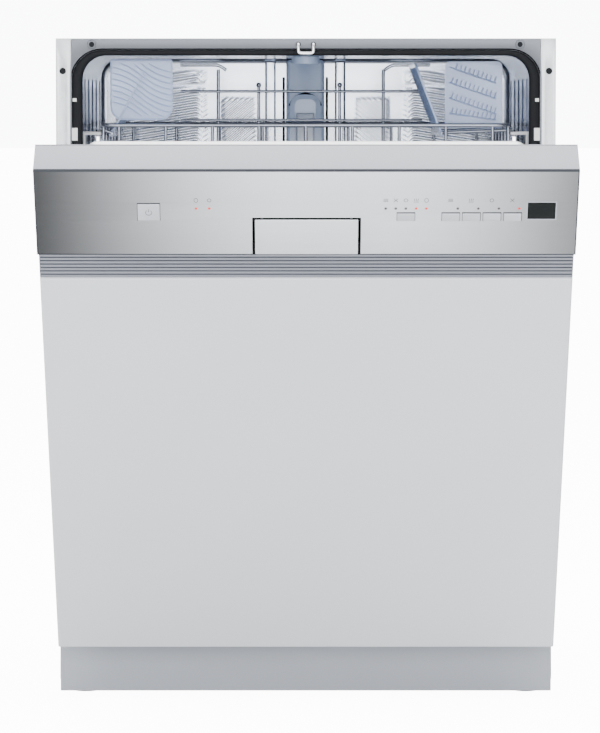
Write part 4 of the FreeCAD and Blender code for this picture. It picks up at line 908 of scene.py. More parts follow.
# ------------------------------------------------------------------ door
@dataclass
class Door:
    """The leaf below the console: painted panel, ridged strip and the liner behind them."""

    half: float = 296.2 * MM
    front: float = -62 * MM
    back: float = -13 * MM
    bottom: float = 95.5 * MM
    panel_top: float = 644.2 * MM
    strip_low: float = 644.5 * MM
    strip_high: float = 677.2 * MM
    strip_front: float = -59.5 * MM
    ridges: int = 7
    liner_x: float = 280 * MM
    liner_low: float = 120 * MM
    liner_top: float = 782 * MM
    liner_face: float = -3 * MM
    corner: float = 36 * MM
    dish: tuple[float, float, float, float] = (-85.2 * MM, 85.2 * MM, 369.8 * MM, 490.2 * MM)

    def build_panel(self) -> None:
        """Folded and painted front with a return all round its back."""
        def outline(inset: float) -> list[tuple[float, float]]:
            """The panel's outline, smaller all round."""
            x = self.half - inset
            return rounded_outline(-x, x, self.bottom + inset, self.panel_top - inset, 1.2 * MM, 1.2 * MM, 3)

        path = [(11 * MM, self.back - 0.3 * MM), (1.2 * MM, self.back - 0.3 * MM), (0.2 * MM, self.back - 0.8 * MM),
                (0.0, self.back - 2 * MM), (0.0, self.front + 2.2 * MM), (0.25 * MM, self.front + 1.2 * MM),
                (0.9 * MM, self.front + 0.35 * MM), (2.0 * MM, self.front)]
        bm = pan_shape([(outline(inset), y) for inset, y in path])
        thicken(bm, 1.0 * MM, Vector((0, -1, 0)))
        finish_piece(bm, "door_panel_enamel", "door", DOOR_PAINT, Turn.ON_DOOR, 50, ["door_panel"])

    def build_strip(self) -> None:
        """Extruded aluminium strip with rounded ridges, where the fingers hook, and painted shade on its groove floors.
        """
        pitch = (self.strip_high - self.strip_low) / self.ridges
        profile = [(self.back - 1.5 * MM, self.strip_low)]
        for k in range(self.ridges):
            z = self.strip_low + pitch * k
            lift = pitch - 1.5 * MM
            y = self.strip_front
            profile += [(y + 0.5 * MM, z), (y + 0.12 * MM, z + 0.22 * MM), (y, z + 0.7 * MM),
                        (y, z + lift - 0.7 * MM), (y + 0.12 * MM, z + lift - 0.22 * MM), (y + 0.5 * MM, z + lift),
                        (y + 1.6 * MM, z + lift + 0.05 * MM), (y + 1.6 * MM, z + pitch - 0.05 * MM)]
        profile += [(self.strip_front + 4 * MM, self.strip_high), (self.strip_front + 4 * MM, self.strip_low + 2 * MM),
                    (self.back - 1.5 * MM, self.strip_low + 2 * MM)]
        bm = bmesh.new()
        rings = [[bm.verts.new((x, y, z)) for y, z in profile] for x in (-self.half, self.half)]
        skin(bm, rings)
        bm.faces.new(rings[0])
        bm.faces.new(list(reversed(rings[1])))
        for side in (-1, 1):
            x0, x1 = sorted((side * self.half, side * (self.half - 1.2 * MM)))
            add_block(bm, (x0, self.strip_front + 4 * MM, self.strip_low),
                      (x1, self.back - 1.5 * MM, self.strip_high))
        finish_piece(bm, "ridged_strip_profile", "door", RIDGE_METAL, Turn.ON_DOOR, 40, ["ridged_strip"])
        # Painted shade: near-black blocks on the floor of each groove.
        groove_shade = bmesh.new()
        for k in range(self.ridges):
            z = self.strip_low + pitch * (k + 1)
            add_block(groove_shade, (-self.half + 0.3 * MM, self.strip_front + 0.9 * MM, z - 1.55 * MM),
                      (self.half - 0.3 * MM, self.strip_front + 1.7 * MM, z + 0.05 * MM))
        finish_piece(groove_shade, "strip_groove_shade", "door", PAINTED_SHADE_GREY, Turn.ON_DOOR)

    def liner_outline(self, inset: float) -> list[tuple[float, float]]:
        """The liner's outline, smaller all round."""
        x = self.liner_x - inset
        return rounded_outline(-x, x, self.liner_low + inset, self.liner_top - inset,
                               max(self.corner - inset, 8 * MM), max(5 * MM - inset, 1.5 * MM))

    def bulge(self) -> bmesh.types.BMesh:
        """The liner's upper half, pressed further in, with a soft edge all round."""
        def outline(inset: float) -> list[tuple[float, float]]:
            """The bulge's outline, smaller all round."""
            x = 245 * MM - inset
            return rounded_outline(-x, x, 540 * MM + inset, 774 * MM - inset, 14 * MM - inset, 20 * MM - inset)

        face = self.liner_face + 27 * MM
        path = [(0.0, self.liner_face - 2 * MM), (0.0, self.liner_face + 1 * MM), (0.3 * MM, face - 7 * MM)]
        for k in range(1, 7):
            a = math.radians(15 * k)
            path.append((0.3 * MM + 7 * MM * (1 - math.cos(a)), face - 7 * MM + 7 * MM * math.sin(a)))
        return pan_shape([(outline(inset), y) for inset, y in path])

    def build_liner(self) -> None:
        """Pressed stainless pan with a raised border, a hole for the dispenser and a latch notch."""
        face = self.liner_face
        path = [(0.0, self.back), (0.0, face - 3.4 * MM), (0.4 * MM, face - 1.8 * MM), (1.4 * MM, face - 0.6 * MM),
                (3.2 * MM, face), (24 * MM, face), (27 * MM, face - 0.6 * MM), (31 * MM, face - 3.2 * MM),
                (34 * MM, face - 3.8 * MM)]
        bm = pan_shape([(self.liner_outline(inset), y) for inset, y in path])
        cut_away(bm, (-12 * MM, 776.5 * MM), (12 * MM, self.liner_top + 1 * MM))
        merge_into(bm, self.bulge())
        x0, x1, z0, z1 = self.dish
        cut_away(bm, (x0, z0), (x1, z1))
        thicken(bm, 0.8 * MM, Vector((0, 1, 0)))
        for side in (-1, 1):
            near, far = sorted((side * (self.liner_x - 1 * MM), side * (self.half - 1.5 * MM)))
            add_block(bm, (near, self.back - 1.2 * MM, 154 * MM), (far, self.back, 675.5 * MM))
        add_block(bm, (-self.liner_x + 1 * MM, self.back - 1.2 * MM, self.liner_low),
                  (self.liner_x - 1 * MM, self.back, self.liner_low + 10 * MM))
        add_block(bm, (-14 * MM, self.back + 0.2 * MM, 773 * MM), (14 * MM, face - 1.2 * MM, 776.6 * MM))
        finish_piece(bm, "door_liner_pan", "door", LINER_STEEL, Turn.ON_DOOR, 50, ["door_liner"])
        frame_bm = bmesh.new()
        border = 7 * MM
        for low, high in (((x0 - border, z0 - border), (x1 + border, z0)), ((x0 - border, z1), (x1 + border, z1 + border)),
                          ((x0 - border, z0), (x0, z1)), ((x1, z0), (x1 + border, z1))):
            add_block(frame_bm, (low[0], face - 4.2 * MM, low[1]), (high[0], face + 0.2 * MM, high[1]))
        finish_piece(frame_bm, "dispenser_rim", "door", WHITE_PLASTIC, Turn.ON_DOOR)
        soften("dispenser_body", WHITE_PLASTIC, 0.5 * MM)
        soften("detergent_lid", GREY_PLASTIC, 0.6 * MM)
        soften("rinse_cap", BLUE_PLASTIC, 0.6 * MM)

    def build(self) -> None:
        """Builds all the pieces of the leaf."""
        self.build_panel()
        self.build_strip()
        self.build_liner()
        dress({"door_seal": SEAL})


class Icon(Enum):
    """Generic marks printed above the lamps."""

    DROP = "drop"
    BARS = "bars"
    RING = "ring"
    CROSS = "cross"
    SPRAY = "spray"


@dataclass
class Console:
    """Stainless console face with its flap, keys, lamps and display, and the trim round it."""

    half: float = 298 * MM
    front: float = -62 * MM
    back: float = -13 * MM
    low: float = 677.5 * MM
    high: float = 790 * MM
    trim_top: float = 791.5 * MM
    trim: float = 2 * MM
    flap: tuple[float, float, float, float] = (-56.6 * MM, 57 * MM, 677.9 * MM, 724.5 * MM)
    flap_gap: float = 3 * MM
    key_gap: float = 0.5 * MM
    # Height of the painted shadow strip above each key, where the face's hole reaches higher.
    key_top_shadow: float = 0.9 * MM
    lens_z: float = 740 * MM
    icon_z: float = 751 * MM
    icon_shift: float = -8 * MM
    lamps: tuple[tuple[float, bool, Icon], ...] = (
        (-121.0, True, Icon.DROP), (-106.5, True, Icon.RING), (87.0, False, Icon.BARS), (98.0, False, Icon.CROSS),
        (109.0, False, Icon.RING), (120.3, True, Icon.SPRAY), (131.5, True, Icon.DROP), (166.0, False, Icon.BARS),
        (188.5, False, Icon.SPRAY), (211.0, False, Icon.RING), (233.5, True, Icon.CROSS))
    display: tuple[float, float, float, float] = (241.5 * MM, 274.5 * MM, 724.75 * MM, 749.25 * MM)
    keys: tuple[tuple[str, float, float, float, float], ...] = (
        ("power_button", -173.0, 735.0, 24.5, 22.0), ("program_button", 109.3, 728.5, 19.4, 10.0),
        ("option_button_1", 158.5, 728.5, 19.5, 10.0), ("option_button_2", 181.1, 728.5, 19.5, 10.0),
        ("option_button_3", 203.7, 728.5, 19.5, 10.0), ("option_button_4", 226.3, 728.5, 19.5, 10.0))

    def build_face(self) -> None:
        """Brushed sheet with its cut-outs."""
        x0, x1, _, z1 = self.flap
        holes = [(x0 - self.flap_gap, x1 + self.flap_gap, self.low - 1 * MM, z1 + self.flap_gap), self.display]
        for _, x, z, w, h in self.keys:
            reach_x, reach_z = w * MM / 2 + self.key_gap, h * MM / 2 + self.key_gap
            holes.append((x * MM - reach_x, x * MM + reach_x, z * MM - reach_z, z * MM + reach_z + self.key_top_shadow))
        bm = plate_with_holes(-self.half + 0.8 * MM, self.half - 0.8 * MM, self.low, self.high, self.front,
                              1.2 * MM, holes)
        bevel_edges(bm, sharp_edges(bm, 60), 0.2 * MM, 2)
        finish_piece(bm, "console_face", "door", FASCIA_STEEL, Turn.ON_DOOR, 40, ["fascia"])

    def build_trim(self) -> None:
        """Top, back and ends of the console case, with painted shade: a dark line under its front edge, dark bands down
        its ends and a dark seam at its foot.
        """
        bm = plate_with_holes(-self.half, self.half, self.low, self.trim_top, self.back - self.trim, self.trim,
                              [(-12.3 * MM, 12.3 * MM, 741.6 * MM, 789.5 * MM)])
        top = soft_block((-self.half, self.front + 0.9 * MM, self.high - 0.5 * MM),
                         (self.half, self.back, self.trim_top), 0.5 * MM)
        merge_into(bm, top)
        for side in (-1, 1):
            x0, x1 = sorted((side * self.half, side * (self.half - self.trim)))
            end = soft_block((x0, self.front + 1.2 * MM, self.low), (x1, self.back, self.trim_top - 0.2 * MM), 0.4 * MM)
            merge_into(bm, end)
        finish_piece(bm, "console_case", "door", TRIM_GREY, Turn.ON_DOOR, replaces=["console_trim"])
        # Painted shade: a near-black line along the case's front edge and bands down both ends of the face.
        edge = soft_block((-self.half, self.front - 0.1 * MM, self.high - 1 * MM),
                          (self.half, self.front + 2.2 * MM, self.trim_top + 0.05 * MM), 0.25 * MM)
        for side in (-1, 1):
            x0, x1 = sorted((side * self.half, side * (self.half - 1.5 * MM)))
            add_block(edge, (x0, self.front - 0.1 * MM, self.low), (x1, self.front + 1.2 * MM, self.high + 0.2 * MM))
        finish_piece(edge, "console_front_edge_shade", "door", PAINTED_SHADE_GREY, Turn.ON_DOOR)
        # Painted shade in the seam at the foot of the face, on both sides of the flap.
        seam_shade = bmesh.new()
        for x0, x1 in ((-self.half + 1 * MM, self.flap[0]), (self.flap[1], self.half - 1 * MM)):
            add_block(seam_shade, (x0, self.front - 0.05 * MM, self.low - 0.1 * MM),
                      (x1, self.front + 2.4 * MM, self.low + 1.0 * MM))
        finish_piece(seam_shade, "console_seam_shade", "door", SHADE_AND_DARK_PARTS, Turn.ON_DOOR)

    def build_flap(self) -> None:
        """Push-in handle flap with a rounded rim and its two hinge ears."""
        x0, x1, z0, z1 = self.flap
        bm = soft_block((x0, self.front, z0), (x1, self.front + 2 * MM, z1), 0.6 * MM, 3)
        for x in (x0 + 6 * MM, x1 - 9 * MM):
            ear = soft_block((x, self.front + 1 * MM, z1 - 8 * MM), (x + 3 * MM, self.front + 9.6 * MM, z1 - 0.6 * MM),
                             0.5 * MM)
            merge_into(bm, ear)
        finish_piece(bm, "handle_flap_face", "handle_flap", FASCIA_STEEL, Turn.ON_DOOR, 40, ["handle_flap"])

    def build_keys(self) -> None:
        """Sprung keys, slightly crowned, with painted shadows in the slots round them."""
        for name, x, z, w, h in self.keys:
            reach_x, reach_z = w * MM / 2, h * MM / 2
            low = (x * MM - reach_x, self.front - 0.8 * MM, z * MM - reach_z)
            high = (x * MM + reach_x, self.front + 9 * MM, z * MM + reach_z)
            bm = soft_block(low, high, 0.7 * MM, 3)
            finish_piece(bm, f"{name}_cap", name, KEY_METAL, Turn.ON_DOOR, 40, [name])
        shadows = bmesh.new()
        for _, x, z, w, h in self.keys:
            reach_x, top = w * MM / 2 + self.key_gap, z * MM + h * MM / 2
            add_block(shadows, (x * MM - reach_x, self.front + 0.3 * MM, top + 0.15 * MM),
                      (x * MM + reach_x, self.front + 1.1 * MM, top + self.key_gap + self.key_top_shadow))
            for side in (-1, 1):
                x0, x1 = sorted((x * MM + side * reach_x, x * MM + side * (w * MM / 2 + 0.15 * MM)))
                add_block(shadows, (x0, self.front + 0.3 * MM, top - h * MM),
                          (x1, self.front + 1.1 * MM, top + 0.15 * MM))
        finish_piece(shadows, "key_slot_shadows", "door", SHADE_AND_DARK_PARTS, Turn.ON_DOOR)
        ring = bmesh.new()
        _, x, z, _, _ = self.keys[0]
        places = [(x * MM + 3.4 * MM * math.sin(a), self.front - 0.86 * MM, z * MM + 3.4 * MM * math.cos(a))
                  for a in spread(math.radians(35), math.radians(325), 22)]
        bent_wire(ring, places, 0.28 * MM, 0.5 * MM, sides=6)
        bent_wire(ring, [(x * MM, self.front - 0.86 * MM, z * MM + 0.6 * MM),
                         (x * MM, self.front - 0.86 * MM, z * MM + 4.6 * MM)], 0.28 * MM, sides=6)
        finish_piece(ring, "power_mark", "power_button", PRINT_DARK, Turn.ON_DOOR)

    def build_lamps(self) -> None:
        """Round lenses, lit and unlit, and the marks above them."""
        shapes = {True: bmesh.new(), False: bmesh.new()}
        marks = bmesh.new()
        for x, lit, icon in self.lamps:
            add_disc(shapes[lit], (x * MM, self.front + 4 * MM, self.lens_z), 1.6 * MM, 4.25 * MM,
                     Vector((0, -1, 0)), 20)
            self.add_icon(marks, x * MM + (self.icon_shift if x > 150 else 0.0), icon)
        for bm in shapes.values():
            bevel_edges(bm, sharp_edges(bm, 60), 0.3 * MM, 2)
        finish_piece(shapes[True], "lamps_lit", "door", LAMP_RED, Turn.ON_DOOR)
        finish_piece(shapes[False], "lamps_unlit", "door", LAMP_OFF, Turn.ON_DOOR)
        finish_piece(marks, "printed_marks", "door", PRINT_DARK, Turn.ON_DOOR)

    def add_icon(self, bm: bmesh.types.BMesh, x: float, icon: Icon) -> None:
        """Adds one small printed mark, a few hundredths of a millimetre proud."""
        y, z = self.front, self.icon_z
        strokes: list[list[tuple[float, float]]] = []
        if icon is Icon.BARS:
            strokes = [[(-2.6, dz), (2.6, dz)] for dz in (-1.6, 0.0, 1.6)]
        elif icon is Icon.CROSS:
            strokes = [[(-2.3, -2.3), (2.3, 2.3)], [(-2.3, 2.3), (2.3, -2.3)]]
        elif icon is Icon.SPRAY:
            strokes = [[(-2.8, -2.2), (2.8, -2.2)], [(-1.6, -0.8), (-2.4, 2.2)], [(0, -0.8), (0, 2.4)],
                       [(1.6, -0.8), (2.4, 2.2)]]
        else:
            stretch = 1.35 if icon is Icon.DROP else 1.0
            turn = spread(0, 2 * math.pi, 15)
            strokes = [[(2.1 * math.cos(a), 2.1 * stretch * math.sin(a)) for a in turn]]
        for stroke in strokes:
            points = [(x + dx * MM, y, z + dz * MM) for dx, dz in stroke]
            bent_wire(bm, points, 0.3 * MM, 0.4 * MM, sides=6)

    def build_display(self) -> None:
        """Dark window in a pale frame, with two unlit digits."""
        x0, x1, z0, z1 = self.display
        bm = soft_block((x0 + 0.2 * MM, self.front + 0.3 * MM, z0 + 0.2 * MM),
                        (x1 - 0.2 * MM, self.front + 5 * MM, z1 - 0.2 * MM), 0.3 * MM)
        finish_piece(bm, "display_window", "door", GLASS_DARK, Turn.ON_DOOR, replaces=["display_and_lenses"])
        rim = bmesh.new()
        wide = 1.1 * MM
        for low, high in (((x0, z0), (x1, z0 + wide)), ((x0, z1 - wide), (x1, z1)),
                          ((x0, z0 + wide), (x0 + wide, z1 - wide)), ((x1 - wide, z0 + wide), (x1, z1 - wide))):
            add_block(rim, (low[0], self.front - 0.1 * MM, low[1]), (high[0], self.front + 2 * MM, high[1]))
        finish_piece(rim, "display_frame", "door", TRIM_GREY, Turn.ON_DOOR)
        digits = bmesh.new()
        size, bar, depth = 4.6 * MM, 0.8 * MM, self.front + 0.24 * MM
        middle_z = (z0 + z1) / 2
        for middle_x in ((x0 + x1) / 2 - 5 * MM, (x0 + x1) / 2 + 5 * MM):
            for level in (-1, 0, 1):
                z = middle_z + level * size
                add_block(digits, (middle_x - size / 2, depth, z - bar / 2), (middle_x + size / 2, depth + bar / 4, z + bar / 2))
            for side in (-1, 1):
                for level in (-0.5, 0.5):
                    x, z = middle_x + side * size * 0.62, middle_z + level * size
                    add_block(digits, (x - bar / 2, depth, z - size * 0.4), (x + bar / 2, depth + bar / 4, z + size * 0.4))
        finish_piece(digits, "display_digits", "door", SHADE_AND_DARK_PARTS, Turn.ON_DOOR)

    def build(self) -> None:
        """Builds all the pieces of the console."""
        self.build_face()
        self.build_trim()
        self.build_flap()
        self.build_keys()
        self.build_lamps()
        self.build_display()
        dress({"control_board": BOARD_GREEN, "handle_and_latch_housing": SHADE_AND_DARK_PARTS})
        soften("latch_hook", GREY_PLASTIC, 0.5 * MM)


# ------------------------------------------------------------------ racks
@dataclass
class Rack:
    """Welded wire basket: rim, floor wires that turn up its sides, and tines."""

    name: str
    body: str
    node: str
    y0: float
    y1: float
    z0: float
    z1: float
    along: int
    across: int
    half: float = 245 * MM
    wire: float = 2 * MM
    rim: float = 2.5 * MM

    def build_basket(self, bm: bmesh.types.BMesh) -> None:
        """Adds the rim, the mid ring and the U-shaped wires."""
        x, y0, y1 = self.half, self.y0, self.y1
        bent_wire(bm, [(-x, y0, self.z1), (x, y0, self.z1), (x, y1, self.z1), (-x, y1, self.z1)], self.rim,
                  16 * MM, closed=True, sides=10)
        under = self.z1 - self.rim * 0.5
        for wire_x in spread(-x + 20 * MM, x - 20 * MM, self.along):
            bent_wire(bm, [(wire_x, y0, under), (wire_x, y0, self.z0), (wire_x, y1, self.z0), (wire_x, y1, under)],
                      self.wire, 9 * MM)
        for wire_y in spread(y0 + 24 * MM, y1 - 24 * MM, self.across):
            z = self.z0 + 2 * self.wire
            bent_wire(bm, [(-x, wire_y, under), (-x, wire_y, z), (x, wire_y, z), (x, wire_y, under)], self.wire, 9 * MM)

    def build_tines(self, bm: bmesh.types.BMesh, x0: float, x1: float, y: float, top: float, count: int) -> None:
        """Adds a row of upright tines with rounded ends."""
        for x in spread(x0, x1, count):
            foot = self.z0 + 3 * self.wire
            bent_wire(bm, [(x, y, foot), (x, y, top)], 1.5 * MM, sides=7)
            ball = bmesh.ops.create_icosphere(bm, subdivisions=1, radius=1.9 * MM)["verts"]
            bmesh.ops.translate(bm, vec=(x, y, top), verts=ball)


@dataclass
class UpperRack(Rack):
    """Cup basket with its glass rail, feed pipe and side runners."""

    rail_y: float = 353.6 * MM
    pipe_low: float = 582 * MM
    riser_y: float = 455.5 * MM

    def build(self) -> None:
        """Builds the upper rack and what rides on it."""
        bm = bmesh.new()
        self.build_basket(bm)
        for y in (130.4 * MM, 279.2 * MM):
            self.build_tines(bm, -185 * MM, 185 * MM, y, 658 * MM, 10)
        back = self.rail_y - 4 * MM
        for x in (-112 * MM, 100 * MM):
            bent_wire(bm, [(x, self.rail_y, self.z0 + 6 * MM), (x, self.rail_y, 764 * MM)], 2.2 * MM, sides=10)
        for x in (-60 * MM, 44 * MM):
            bent_wire(bm, [(x, self.rail_y, self.z0 + 6 * MM), (x, self.rail_y, 744 * MM)], 2.0 * MM, sides=10)
            ball = bmesh.ops.create_uvsphere(bm, u_segments=14, v_segments=8, radius=3.4 * MM)["verts"]
            bmesh.ops.translate(bm, vec=(x, self.rail_y, 744 * MM), verts=ball)
        for z in (self.z1 + 5 * MM, self.z1 + 42 * MM):
            bent_wire(bm, [(-160 * MM, back, z), (150 * MM, back, z)], 1.8 * MM, sides=10)
        for side, x in ((-1, -235.5 * MM), (1, 165 * MM)):
            bent_wire(bm, [(x, 64 * MM, 684 * MM), (x, 370 * MM, 684 * MM)], 1.5 * MM)
            for y in (62 * MM, 372 * MM):
                bent_wire(bm, [(side * self.half, y, 688 * MM), (x, y, 685 * MM)], 2 * MM)
        finish_piece(bm, "upper_basket_wires", self.body, RACK_WIRE, smooth=60, replaces=[self.node])
        feed = soft_block((-11 * MM, 239 * MM, self.pipe_low), (11 * MM, self.riser_y + 2 * MM, 593.8 * MM), 3 * MM, 3)
        merge_into(feed, soft_block((-12 * MM, self.riser_y, self.pipe_low), (12 * MM, 462 * MM, 708 * MM), 2 * MM, 3))
        add_disc(feed, (0, 250 * MM, 554 * MM), 14 * MM, 4 * MM, Vector((0, 0, 1)), 32)
        add_disc(feed, (0, 250 * MM, 558 * MM), 5 * MM, 26 * MM, Vector((0, 0, 1)), 24)
        finish_piece(feed, "upper_feed_pipe", self.body, BLUE_PLASTIC, smooth=40)
        runners = bmesh.new()
        for side in (-1, 1):
            x0, x1 = sorted((side * 247.5 * MM, side * 253.5 * MM))
            merge_into(runners, soft_block((x0, 22 * MM, 668 * MM), (x1, 452 * MM, 682 * MM), 1.2 * MM))
        finish_piece(runners, "upper_runners", self.body, CHROME)
        soften("rail_rollers", WHITE_PLASTIC, 0.8 * MM)
        soften("rail_guides", WHITE_PLASTIC, 0.5 * MM)


@dataclass
class CupShelf:
    """Translucent ribbed shelf that leans inwards over the cups."""

    side: int
    y0: float
    y1: float
    node: str
    lean: float = math.radians(28)
    pin: tuple[float, float] = (235.5 * MM, 684 * MM)
    web: bool = False
    reach: float = 92 * MM
    thick: float = 3 * MM
    corner: float = 14 * MM

    def build(self) -> None:
        """Plate with rounded far corners, slanted ribs and a barrel at its hinge."""
        half_len = (self.y1 - self.y0) / 2
        bm = bmesh.new()
        verts = add_block(bm, (-self.thick * 0.3, -half_len, 2 * MM), (self.thick * 0.3, half_len, self.reach))
        far = [e for e in edges_along(verts, 0) if e.verts[0].co.z > self.reach / 2]
        bevel_edges(bm, far, self.corner, 8)
        step = 9 * MM
        count = int((2 * half_len - 20 * MM) / step)
        for k in range(count + 1):
            y = -half_len + 10 * MM + k * step
            low_z = 8 * MM
            high_y = min(y + 14 * MM, half_len - 4 * MM)
            bent_wire(bm, [(0, y, low_z), (0, high_y, self.reach - 6 * MM)], 1.45 * MM, sides=8)
        rim = [(0, -half_len + 1.4 * MM, 4 * MM), (0, -half_len + 1.4 * MM, self.reach - 1.4 * MM),
               (0, half_len - 1.4 * MM, self.reach - 1.4 * MM), (0, half_len - 1.4 * MM, 4 * MM)]
        bent_wire(bm, rim, 1.45 * MM, self.corner)
        add_disc(bm, (0, -half_len, 0), 4 * MM, 2 * half_len, Vector((0, 1, 0)), 20)
        turn = Matrix.Rotation(-self.side * self.lean, 4, "Y")
        place = Matrix.Translation((self.side * self.pin[0], (self.y0 + self.y1) / 2, self.pin[1]))
        bmesh.ops.transform(bm, matrix=place @ turn, verts=bm.verts)
        if self.web:
            self.add_web(bm)
        finish_piece(bm, f"{self.node}_ribbed", self.node, SHELF_PLASTIC, smooth=50, replaces=[self.node])


    def add_web(self, bm: bmesh.types.BMesh) -> None:
        """Adds the ribbed web across the shelf's front end."""
        x0, x1, z0, z1 = -237.4 * MM, -161.6 * MM, 700 * MM, 774 * MM
        y = self.y0 + 1.2 * MM
        plate = bmesh.new()
        outline = rounded_outline(x0, x1, z0, z1, 3 * MM, 16 * MM)
        rings = [ring_of(plate, outline, y - 0.5 * MM), ring_of(plate, outline, y + 0.5 * MM)]
        skin(plate, rings)
        plate.faces.new(rings[0])
        plate.faces.new(rings[1])
        border = [(x, y, z) for x, z in rounded_outline(x0 + 1.1 * MM, x1 - 1.1 * MM, z0 + 1.1 * MM, z1 - 1.1 * MM,
                                                        2 * MM, 15 * MM, 4)]
        bent_wire(plate, border, 1.05 * MM, 1 * MM, closed=True, sides=6)
        for z in spread(z0 + 8 * MM, z1 + 18 * MM, 13):
            low_x, high_x = x0 + 3 * MM, x1 - 3 * MM
            drop = 34 * MM
            points = []
            for k in range(9):
                x = low_x + (high_x - low_x) * k / 8
                points.append((x, y, z - drop * (k / 8) + 3 * MM * math.sin(k * math.pi / 4)))
            inside = [q for q in points if z0 + 4 * MM < q[2] < z1 - 3 * MM and (q[0] > x0 + 14 * MM or q[2] > z0 + 15 * MM)]
            if len(inside) > 2:
                bent_wire(plate, inside, 1.05 * MM, 4 * MM, sides=6)
        merge_into(bm, plate)


@dataclass
class StemComb:
    """Toothed holder for glass stems, fixed across the right of the upper rack."""

    x0: float = 172 * MM
    x1: float = 242.5 * MM
    z0: float = 690 * MM
    z1: float = 772 * MM
    y: float = 150 * MM
    thick: float = 3 * MM

    def build(self) -> None:
        """Plate with slanted toothed bars on its face."""
        bm = bmesh.new()
        outline = rounded_outline(self.x0, self.x1, self.z0, self.z1, 6 * MM, 2 * MM)
        rings = [ring_of(bm, outline, self.y + 1.4 * MM), ring_of(bm, outline, self.y + 2.6 * MM)]
        skin(bm, rings)
        bm.faces.new(rings[0])
        bm.faces.new(rings[1])
        face = self.y + 1.2 * MM
        for row in range(4):
            start = Vector((self.x0 + 5 * MM, face, self.z1 - (7 + 19 * row) * MM))
            run = Vector((58 * MM, 0, -20 * MM if row < 3 else -8 * MM))
            bent_wire(bm, [tuple(start), tuple(start + run)], 1.1 * MM, sides=6)
            for tooth in range(11):
                foot = start + run * (tooth + 0.5) / 11
                tip = foot + Vector((2.2 * MM, 0, 7.5 * MM))
                if tip.z < self.z1 - 1 * MM:
                    bent_wire(bm, [tuple(foot), tuple(tip)], 1.0 * MM, sides=6)
        finish_piece(bm, "stem_comb", "upper_rack", SHELF_PLASTIC, smooth=50)


@dataclass
class LowerRack(Rack):
    """Plate basket with tines, wheels and the cutlery basket's seat."""

    axle_z: float = 164 * MM

    def build(self) -> None:
        """Builds the lower rack and what rides on it."""
        bm = bmesh.new()
        self.build_basket(bm)
        for y in (112 * MM, 220 * MM, 328 * MM):
            self.build_tines(bm, -200 * MM, 60 * MM, y, 281 * MM, 12)
        finish_piece(bm, "lower_basket_wires", self.body, RACK_WIRE, smooth=60, replaces=[self.node])
        legs = bmesh.new()
        for y in (94 * MM, 400 * MM):
            for side in (-1, 1):
                x0, x1 = sorted((side * 239 * MM, side * 243 * MM))
                merge_into(legs, soft_block((x0, y - 5 * MM, self.axle_z - 6 * MM), (x1, y + 5 * MM, 191 * MM), 1 * MM))
                add_disc(legs, (side * 243 * MM, y, self.axle_z), 2.5 * MM, 13 * MM, Vector((side, 0, 0)), 20)
            merge_into(legs, soft_block((-243 * MM, y - 2 * MM, 186 * MM), (243 * MM, y + 2 * MM, 190 * MM), 0.8 * MM))
        finish_piece(legs, "lower_rack_legs", self.body, GREY_PLASTIC)
        for node in ("rack_wheels_front", "rack_wheels_rear"):
            soften(node, WHITE_PLASTIC, 1.2 * MM)
        soften("cutlery_basket", BLUE_PLASTIC, 0.5 * MM)


# ------------------------------------------------------------------ everything else
def dress_cabinet() -> None:
    """Gives the rest of the cabinet its finishes, with rounded edges where they show."""
    for node in ("side_panels", "top_braces", "rear_panel"):
        soften(node, ZINC, 0.35 * MM, 60)
    for node in ("base_tray", "tub_supports", "circulation_pump", "drain_pump"):
        soften(node, DARK_BASE, 0.8 * MM)
    for node in ("sump", "water_softener", "inlet_valve", "salt_cap"):
        soften(node, WHITE_PLASTIC, 0.6 * MM)
    for node in ("drain_spigot", "cord_gland"):
        soften(node, GREY_PLASTIC, 0.5 * MM)
    for node in ("levelling_foot_front_left", "levelling_foot_front_right", "levelling_foot_rear"):
        soften(node, GREY_PLASTIC, 0.8 * MM)
    for node in ("hinge_brackets", "hinge_arms"):
        soften(node, ZINC, 0.3 * MM, 60)
    for node in ("lower_spray_arm", "upper_spray_arm"):
        soften(node, BLUE_PLASTIC, 1.6 * MM, 50)
    soften("filter_cylinder", GREY_PLASTIC, 0.4 * MM)
    soften("tub_floor", TUB_STEEL, 0.3 * MM, 60)
    soften("insulation_mats", FELT_MAT, 1.6 * MM, 60)
    soften("plinth", PLINTH_PAINT, 0.4 * MM, 60)


